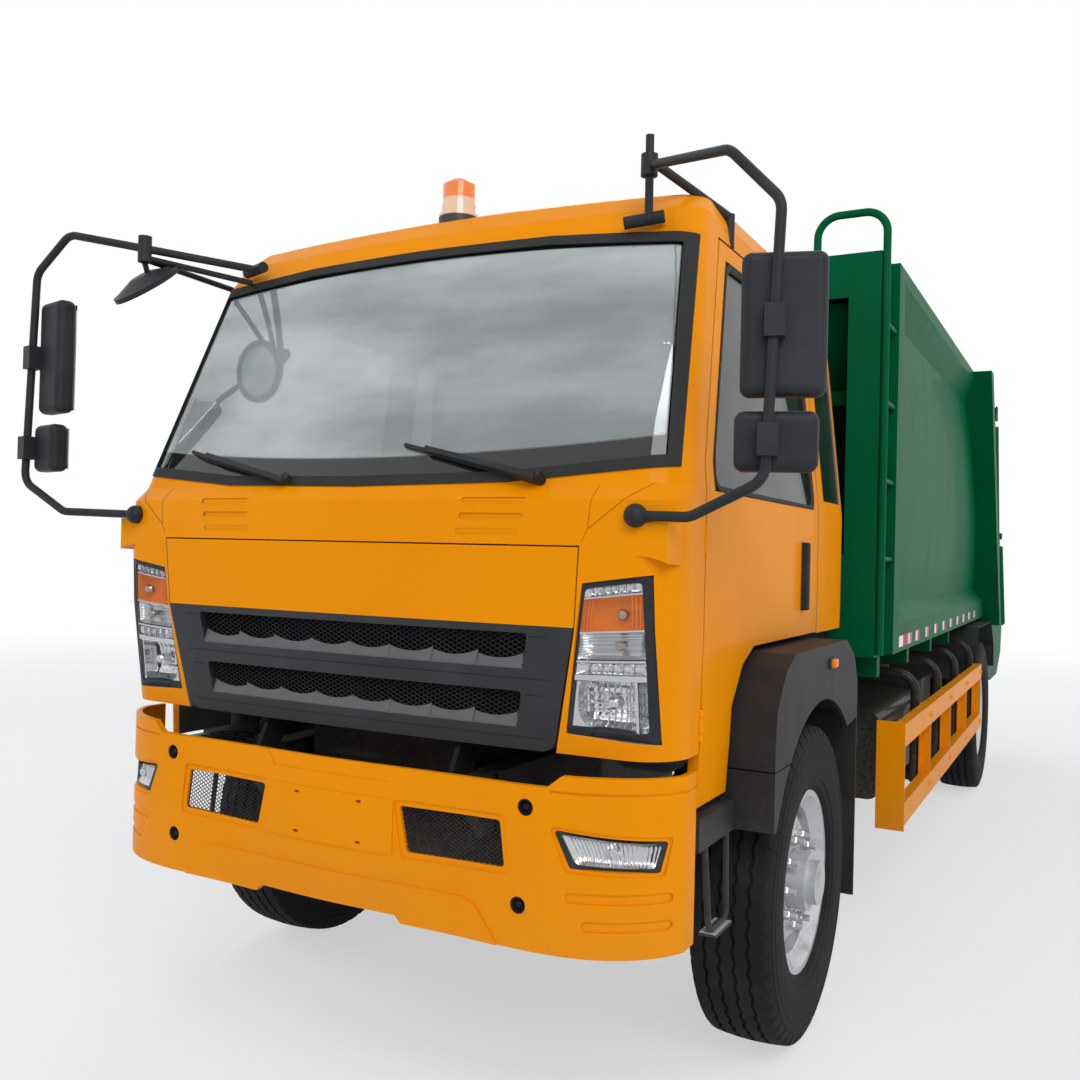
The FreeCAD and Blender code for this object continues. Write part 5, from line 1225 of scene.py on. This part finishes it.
@dataclass
class MirrorGlass:
    """The mirrors' silvered faces, on the backs of their housings."""

    bar_radius: float = 0.013
    gap: float = 0.006
    housing: float = 0.066
    margin: float = 0.012
    proud: float = 0.0012
    bow: float = 0.003
    thickness: float = 0.004
    arms: tuple = (
        MirrorArm((1.226, -3.8, 2.4), (1.199, -3.8, 1.745), 17, 1,
                  (MirrorHead(2.118, 0.345, 0.078, 0.124), MirrorHead(1.84, 0.145, 0.078, 0.12))),
        MirrorArm((-1.346, -3.874, 2.48), (-1.381, -3.874, 1.765), 12, -1,
                  (MirrorHead(2.19, 0.384, 0.15, 0.002), MirrorHead(1.88, 0.162, 0.14, 0.002))))
    dish: tuple = ((0, 0.012), (0.04, 0.0112), (0.08, 0.0092), (0.108, 0.0065), (0.108, 0.002), (0, 0.002))
    dish_place: tuple = (-0.927, -3.77, 2.425)
    dish_aim: tuple = (0.15, 0.62, -0.77)

    def glass(self, arm: MirrorArm, head: MirrorHead) -> Shell:
        """One rectangular glass: a slab bowed by (1-(2u-1)^2)(1-(2v-1)^2), turned about its bar.

        Args:
            arm: the bar that carries it.
            head: its housing.

        Returns:
            The glass.
        """
        x0, x1 = -head.inside + self.margin, head.outside - self.margin
        x, up, u, v = quad_grid(rectangle((x1 - x0) / 2, head.height / 2 - self.margin, (x0 + x1) / 2), 12, 8)
        back = self.bar_radius + self.gap + self.housing + self.proud
        front = np.stack([x, back + self.bow * (1 - (2 * u - 1) ** 2) * (1 - (2 * v - 1) ** 2), up], -1)
        glass = Shell.slab(front, front - (0, self.thickness, 0))
        glass = glass.turned(Matrix.Rotation(math.radians(arm.turn), 4, "Z"))
        low, high = Vector(arm.low), Vector(arm.high)
        place = low.lerp(high, (head.z - low.z) / (high.z - low.z))
        return (glass if arm.side > 0 else glass.mirrored()).turned(Matrix.Translation(place))

    def build(self) -> None:
        """Makes the four flat glasses and the round one."""
        flat = [self.glass(arm, head) for arm in self.arms for head in arm.heads]
        aim = Vector(self.dish_aim).to_track_quat("Z", "Y").to_matrix().to_4x4()
        dish = Shell.lathe(self.dish, (0, 0, 0), "z", 48).turned(Matrix.Translation(self.dish_place) @ aim)
        make_piece("mirror_glasses", [*flat, dish], Coat.MIRROR, "cab")


@dataclass
class DoorSeals:
    """Rubber channels round the door windows."""

    outline: tuple = ((-3.502, 1.742), (-2.413, 1.742), (-2.413, 2.438), (-3.230, 2.438), (-3.500, 1.822))
    corner: float = 0.045
    width: float = 0.025
    section: tuple = ((0, 0.003), (1, -0.001), (1, -0.010), (0, -0.010))
    side_x: float = 0.978
    belt: float = 1.74
    lean: float = 0.1102

    def build(self) -> None:
        """Makes a channel for each door: its section is carried round the window's outline, on a side that
        is upright below the belt and leans in above it."""
        outer = rounded_loop(self.outline, self.corner, 8)
        away = outer - outer.mean(axis=0)
        inner = outer - away / np.linalg.norm(away, axis=1, keepdims=True) * self.width
        rows = []
        for which, lift in self.section:
            y, z = (outer, inner)[which].T
            rows.append((self.side_x - self.lean * np.clip(z - self.belt, 0, None) + lift, y, z))
        seal = Shell.carried(rows, close_rows=True)
        make_piece("door_seal_left", [seal], Coat.FLAP, "door_left")
        make_piece("door_seal_right", [seal.mirrored()], Coat.FLAP, "door_right")


@dataclass
class Cushion:
    """One padded piece of a seat: a rounded box whose big faces are crowned and whose sides pull in."""

    name: str
    middle: tuple
    size: tuple
    lean: float
    fill: float = 0.6
    cap: float = 0.016
    pressure: float = 3.0
    frames: int = 15
    round_wide: float = 0.22
    round_flat: float = 0.28
    round_high: float = 0.38
    channel_place: float = 0.3
    channel_half: float = 0.008
    channel_depth: float = 0.007

    def build(self) -> None:
        """Its form is a superellipsoid: each of x, y and z is the signed power of the usual sphere's
        cosine or sine, with small powers so that it is a box with soft edges. Two sewn channels are
        bell curves of x.
        """
        turn, tilt = np.linspace(-math.pi, math.pi, 65)[:-1], np.linspace(-math.pi / 2, math.pi / 2, 33)
        t, a = np.meshgrid(tilt, turn, indexing="ij")
        flat = signed_power(np.cos(t), self.round_flat)
        grid = np.stack([flat * signed_power(np.cos(a), self.round_wide),
                         flat * signed_power(np.sin(a), self.round_wide),
                         signed_power(np.sin(t), self.round_high)], -1) * self.size / 2
        off = (np.abs(grid[..., 0]) - self.size[0] * self.channel_place) / self.channel_half
        on_face = np.abs(grid[..., 2]) > self.size[2] * self.channel_place
        grid[..., 2] -= np.sign(grid[..., 2]) * np.exp(-off ** 2) * self.channel_depth * on_face
        place = Matrix.Translation(self.middle) @ Matrix.Rotation(math.radians(self.lean), 4, "X")
        made = make_piece(self.name, [Shell.from_grid(grid).turned(place)], Coat.CLOTH, "cab",
                          crease=70.0)
        self.swell(made)

    def swell(self, made: bpy.types.Object) -> None:
        """Blows the cover up a little as cloth, holds each point to the cap, and keeps the result.

        Args:
            made: the cushion.
        """
        start = np.empty(len(made.data.vertices) * 3)
        made.data.vertices.foreach_get("co", start)
        cloth = made.modifiers.new("puff", "CLOTH")
        cloth.settings.use_pressure = True
        cloth.settings.uniform_pressure_force = self.pressure
        cloth.settings.effector_weights.gravity = 0.0
        scene = bpy.context.scene
        for number in range(1, self.frames + 1):
            scene.frame_set(number)
        blown = made.evaluated_get(bpy.context.evaluated_depsgraph_get())
        end = np.empty_like(start)
        blown.to_mesh().vertices.foreach_get("co", end)
        blown.to_mesh_clear()
        made.modifiers.remove(cloth)
        scene.frame_set(1)
        move = (end - start).reshape(-1, 3)
        far = np.linalg.norm(move, axis=1, keepdims=True)
        move *= np.minimum(1.0, self.cap / np.maximum(far, 1e-9))
        made.data.vertices.foreach_set("co", start + move.ravel())
        made.data.update()


def signed_power(value: np.ndarray, order: float) -> np.ndarray:
    """A power of the size, with the value's sign."""
    return np.sign(value) * np.abs(value) ** order


@dataclass
class Seats:
    """The two seats: a base with its plinth, a back and a head pad."""

    middles: tuple = ((-0.52, "right"), (0.52, "left"))
    plinth: tuple = (0.23, 0.235, -2.595)
    plinth_levels: tuple = (1.182, 1.19, 1.375, 1.385)
    cushions: tuple = (("base", (-2.595, 1.455), (0.48, 0.50, 0.125), 3.0),
                       ("back", (-2.285, 1.715), (0.46, 0.40, 0.10), 78.5),
                       ("head", (-2.228, 2.025), (0.36, 0.17, 0.09), 78.5))

    def build(self) -> None:
        """Makes the plinths, and the cushions over them."""
        plinths = []
        for x, _ in self.middles:
            half_wide, half_long, y = self.plinth
            outline = rounded_loop(rectangle(half_wide, half_long, x, y), 0.05).T
            plinths.append(Shell.carried([(*outline, z) for z in self.plinth_levels], caps=True))
        make_piece("seat_plinths", plinths, Coat.DASH, "cab", ["seats"])
        for x, side in self.middles:
            for part, place, size, lean in self.cushions:
                Cushion(f"seat_{part}_{side}", (x, *place), size, lean).build()


@dataclass
class ArchLamps:
    """Amber lamps on the front wheel arches."""

    place: tuple = (1.100, -2.627, 1.215)
    half: tuple = (0.036, 0.015)
    base: tuple = ((0.0, 1.25), (0.005, 1.25), (0.007, 1.1))
    dome: tuple = ((0.004, 1.0), (0.012, 1.0), (0.016, 0.9), (0.0175, 0.6))

    def build(self) -> None:
        """Makes the lamps: a rounded outline is carried outwards, and drawn in at its face."""
        x, y, z = self.place
        along, up = rounded_loop(rectangle(*self.half), 0.012).T
        base, dome = (Shell.carried([(x + out, y + along * k, z + up * k) for out, k in steps], caps=True)
                      for steps in (self.base, self.dome))
        make_piece("arch_lamp_bases", both_sides(base), Coat.TRIM, "cab")
        make_piece("arch_lamps", both_sides(dome), Coat.AMBER, "cab")


@dataclass
class LedgeTapes:
    """Red and white reflective pieces on the container's ledge: a close group in front, then pairs."""

    x: float = 1.125
    levels: tuple = (1.190, 1.238)
    proud: float = 0.0012
    white: tuple = ((-1.475, -1.375), (-1.235, -1.185))
    red: tuple = ((-1.37, -1.315), (-1.30, -1.245), (-1.18, -1.13))
    pairs: tuple = (-1.02, 1.75, 0.31)
    length: float = 0.05
    step: float = 0.055

    def block(self, y0: float, y1: float) -> Shell:
        """One thin slab on the container's upright side."""
        points = np.array([[[self.x, y, z] for y in (y0, y1)] for z in self.levels])
        return Shell.slab(points + (self.proud, 0, 0), points + (-0.001, 0, 0))

    def build(self) -> None:
        """Makes the pieces of both colours."""
        starts = np.arange(*self.pairs)
        for name, coat, close, shift in (("white", Coat.TAPE_WHITE, self.white, 0.0),
                                         ("red", Coat.TAPE_RED, self.red, self.step)):
            blocks = [self.block(*ends) for ends in close]
            blocks += [self.block(y + shift, y + shift + self.length) for y in starts]
            make_piece(f"ledge_tape_{name}", both_sides(*blocks), coat, "chassis")


@dataclass
class RearLamps:
    """A stack of three lenses on a dark base at each side of the hopper's sloping back.

    A place there is the slope's foot, plus its direction times the way along, plus its normal times the
    height over it.
    """

    foot: tuple = (3.340, 1.500)
    slope: tuple = (-0.4819, 0.8762)
    base: tuple = (0.055, 0.375, 0.945, 1.062, -0.004, 0.022)
    lens: tuple = (0.095, 0.953, 1.054, 0.016, 0.036)
    lenses: tuple = (("red", Coat.LAMP_RED, 0.065), ("amber", Coat.AMBER, 0.168),
                     ("white", Coat.LAMP_WHITE, 0.271))

    def block(self, low: float, high: float, x0: float, x1: float, base: float, top: float) -> Shell:
        """A rounded outline on the slope, carried outwards and drawn in at its face.

        Args:
            low: the way along the slope where it starts.
            high: the way along where it ends.
            x0: its inner side.
            x1: its outer side.
            base: the height over the slope where it starts.
            top: the height of its face.

        Returns:
            The block.
        """
        outline = rounded_loop([(x0, low), (x1, low), (x1, high), (x0, high)], 0.012)
        middle = outline.mean(axis=0)
        rows = []
        for proud, share in ((base, 1.0), (top - 0.006, 1.0), (top - 0.002, 0.97), (top, 0.90)):
            x, along = (middle + (outline - middle) * share).T
            rows.append((x, self.foot[0] + self.slope[0] * along + self.slope[1] * proud,
                         self.foot[1] + self.slope[1] * along - self.slope[0] * proud))
        return Shell.carried(rows, caps=True)

    def build(self) -> None:
        """Makes the bases and the lenses."""
        base = self.block(*self.base)
        make_piece("rear_lamp_bases", both_sides(base), Coat.TRIM, "tailgate")
        height, *rest = self.lens
        for name, coat, low in self.lenses:
            lens = self.block(low, low + height, *rest)
            make_piece(f"rear_lamp_{name}", both_sides(lens), coat, "tailgate")


@dataclass
class SmallFittings:
    """The side guards' bolts, the stirrups' treads and the louvres' backs."""

    bolt: tuple = ((0, 0.007), (0.006, 0.0064), (0.0105, 0.003), (0.0115, 0), (0.0115, -0.002), (0, -0.002))
    guard_x: float = 1.222
    posts: tuple = (-1.165, -0.465, 0.235, 0.980)
    bolt_shift: float = 0.02
    rails: tuple = (0.565, 0.875)
    tread: tuple = ((0.957, -3.493), (1.003, -3.493), (1.003, -3.362), (0.957, -3.362))
    tread_levels: tuple = (0.549, 0.5525)
    ribs: int = 11
    rib_height: float = 0.0025
    louvre: tuple = ((0.366, 1.6055), (0.566, 1.6055), (0.566, 1.6265), (0.366, 1.6265))
    louvre_depth: float = 0.0055

    def build(self) -> None:
        """Makes domed bolts at each post and rail, ribbed silver pads whose height is a clipped sine of y,
        and painted strips that close the lowest louvres from behind."""
        bolt = Shell.lathe(self.bolt, (self.guard_x, 0, 0), "x", 14)
        spots = np.array([(0, y + shift, z) for y in self.posts
                          for shift in (-self.bolt_shift, self.bolt_shift) for z in self.rails])
        make_piece("guard_bolts", both_sides(bolt.copies(spots)), Coat.ORANGE, "chassis")
        x, y, _, v = quad_grid(self.tread, 60, 6)
        foot, middle = self.tread_levels
        top = middle + self.rib_height * np.clip(np.sin(v * self.ribs * FULL_TURN) * 3, -1, 1)
        pad = Shell.slab(np.stack([x, y, top], -1), np.stack([x, y, np.full_like(x, foot)], -1))
        make_piece("stirrup_treads", both_sides(pad), Coat.SILVER, "chassis")
        strip = face_slab(self.louvre, hood_face, 0.003, 3, 24, self.louvre_depth)
        make_piece("louvre_backs", both_sides(strip), Coat.ORANGE, "cab")


@dataclass(frozen=True)
class SoftBox:
    """A square lamp that faces a point: its place, its target, its watts, and whether gloss shows it."""

    name: str
    place: tuple
    target: tuple
    power: float
    mirrored: bool = False
    size: float = 6.0

    def build(self) -> None:
        """Makes the lamp."""
        data = bpy.data.lights.new(self.name, "AREA")
        data.shape, data.size, data.energy = "SQUARE", self.size, self.power
        lamp = bpy.data.objects.new(self.name, data)
        lamp.location = self.place
        lamp.visible_glossy = self.mirrored
        lamp.rotation_euler = (Vector(self.target) - Vector(self.place)).to_track_quat("-Z", "Y").to_euler()
        bpy.context.scene.collection.objects.link(lamp)


@dataclass
class Studio:
    """The floor, the backdrop, the lamps and the camera."""

    camera_place: tuple = (1.90, -6.193, 1.564)
    right: tuple = (0.87949654, 0.47527681, 0.02444972)
    down: tuple = (0.01594942, 0.02190992, -0.99963272)
    ahead: tuple = (-0.47563794, 0.87956348, 0.01168931)
    lens: float = 34.792
    sensor: float = 36.0
    far_clip: float = 200.0
    rings: tuple = (6.0, 14.0, 40.0)
    floor_sides: int = 96
    floor_fade: tuple = (5.0, 16.0)
    floor_greys: tuple = ((0.80, 0.80, 0.80), (0.84, 0.84, 0.84))
    sky_light: tuple = (0.86, 0.93, 1.0)
    sky_strength: float = 0.55
    white: tuple = (1.0, 1.0, 1.0)
    lamps: tuple = (
        SoftBox("key_panel", (5.5, -9.5, 7.5), (0, -2.2, 1.2), 470.0, True),
        SoftBox("fill_panel", (-8.0, -7.0, 5.0), (0, -2.0, 1.2), 230.0),
        SoftBox("side_panel", (9.5, 2.0, 5.0), (0, 0.5, 1.4), 190.0),
        SoftBox("back_panel", (-4.0, 10.0, 7.0), (0, 2.0, 1.5), 290.0, True))

    def build(self) -> None:
        """Makes everything that stands round the truck."""
        self.floor()
        self.world()
        for lamp in self.lamps:
            lamp.build()
        self.camera()

    def floor(self) -> None:
        """A pale floor disc, of rings about its middle, that fades to the background's white far out."""
        turn = np.linspace(0, FULL_TURN, self.floor_sides, endpoint=False)
        rim = np.stack([np.cos(turn), np.sin(turn), 0 * turn], 1)
        points = np.concatenate([np.zeros((1, 3)), *(rim * radius for radius in self.rings)])
        this = np.arange(self.floor_sides)
        after = (this + 1) % self.floor_sides
        faces = np.stack([0 * this, 1 + this, 1 + after], 1).tolist()
        for start in 1 + self.floor_sides * np.arange(len(self.rings) - 1):
            out = start + self.floor_sides
            faces += np.stack([start + this, out + this, out + after, start + after], 1).tolist()
        mesh = bpy.data.meshes.new("studio_floor")
        mesh.from_pydata(points.tolist(), [], faces)
        floor = bpy.data.objects.new("studio_floor", mesh)
        bpy.context.scene.collection.objects.link(floor)
        shader = Shader("studio_floor_paint")
        grey = shader.blend(shader.noise(0.6, 3.0), *self.floor_greys)
        matt = shader.node("ShaderNodeBsdfPrincipled", {}, {"Base Color": grey, "Roughness": 0.9})
        white = shader.node("ShaderNodeEmission", {}, {"Color": self.white, "Strength": 1.0})
        reach = shader.vector("LENGTH", shader.place, (0, 0, 0), 1)
        seen = (shader.ray("Camera") + shader.ray("Glossy") * 0.5).clamp()
        share = (reach.ramp(*self.floor_fade) * 0.45 + 0.55) * seen
        look = shader.node("ShaderNodeMixShader", {}, {0: share, 1: matt, 2: white})
        mesh.materials.append(shader.ends_in(look))

    def world(self) -> None:
        """An even sky: white to the eye, in glass and in reflections, a soft grey as light."""
        sky = bpy.data.worlds.new("studio_sky")
        bpy.context.scene.world = sky
        tree = Tree(sky)
        seen = tree.ray("Camera").or_more(tree.ray("Transmission")).or_more(tree.ray("Glossy"))
        light, white = (tree.node("ShaderNodeBackground", {}, {"Color": colour, "Strength": strength})
                        for colour, strength in ((self.sky_light, self.sky_strength), (self.white, 1.0)))
        mix = tree.node("ShaderNodeMixShader", {}, {0: seen, 1: light, 2: white})
        tree.node("ShaderNodeOutputWorld", {}, {"Surface": mix}, None)

    def camera(self) -> None:
        """The camera at the photograph's place, with its lens."""
        data = bpy.data.cameras.new("camera")
        data.sensor_width, data.lens, data.clip_end = self.sensor, self.lens, self.far_clip
        camera = bpy.data.objects.new("camera", data)
        turn = Matrix([self.right, -Vector(self.down), -Vector(self.ahead)]).transposed()
        camera.matrix_world = Matrix.Translation(self.camera_place) @ turn.to_4x4()
        bpy.context.scene.collection.objects.link(camera)
        bpy.context.scene.camera = camera


TYRES = (
    Tyre("tyre_front_left", "wheel_front_left", (0.950,), FRONT_AXLE),
    Tyre("tyre_front_right", "wheel_front_right", (-0.950,), FRONT_AXLE),
    Tyre("tyres_rear_left", "wheels_rear_left", (1.040, 0.755), REAR_AXLE),
    Tyre("tyres_rear_right", "wheels_rear_right", (-1.040, -0.755), REAR_AXLE))
GRILLE_MESH = Lattice(
    "grille_lattice", "grille_mesh", "front_flap", grille_face,
    (((-0.572, 1.260), (0.572, 1.260), (0.586, 1.353), (-0.586, 1.353)),
     ((-0.549, 1.104), (0.549, 1.104), (0.563, 1.199), (-0.563, 1.199))),
    False, 0.026, 0.0066, 0.0021, 0.0175)
INLET_MESH = Lattice(
    "inlet_lattice", "bumper_mesh", "chassis", bumper_face,
    (((0.265, 0.751), (0.565, 0.757), (0.549, 0.875), (0.239, 0.871)),), True, 0.018, 0.0060, 0.0017, 0.0085)


def main() -> None:
    """Dresses the frame, builds the pieces in order, stages the truck and reports as it goes."""
    logging.basicConfig(format="%(name)s: %(message)s")
    LOG.setLevel(logging.INFO)
    bpy.context.scene.view_settings.view_transform = "Standard"
    dress_frame()
    for part in (*TYRES, WheelNuts(), GRILLE_MESH, INLET_MESH, Headlamps(), FogLamps(), BumperBolts(),
                 MirrorGlass(), DoorSeals(), Seats(), ArchLamps(), LedgeTapes(), RearLamps(),
                 SmallFittings()):
        part.build()
    Studio().build()


if __name__ == "__main__":
    main()
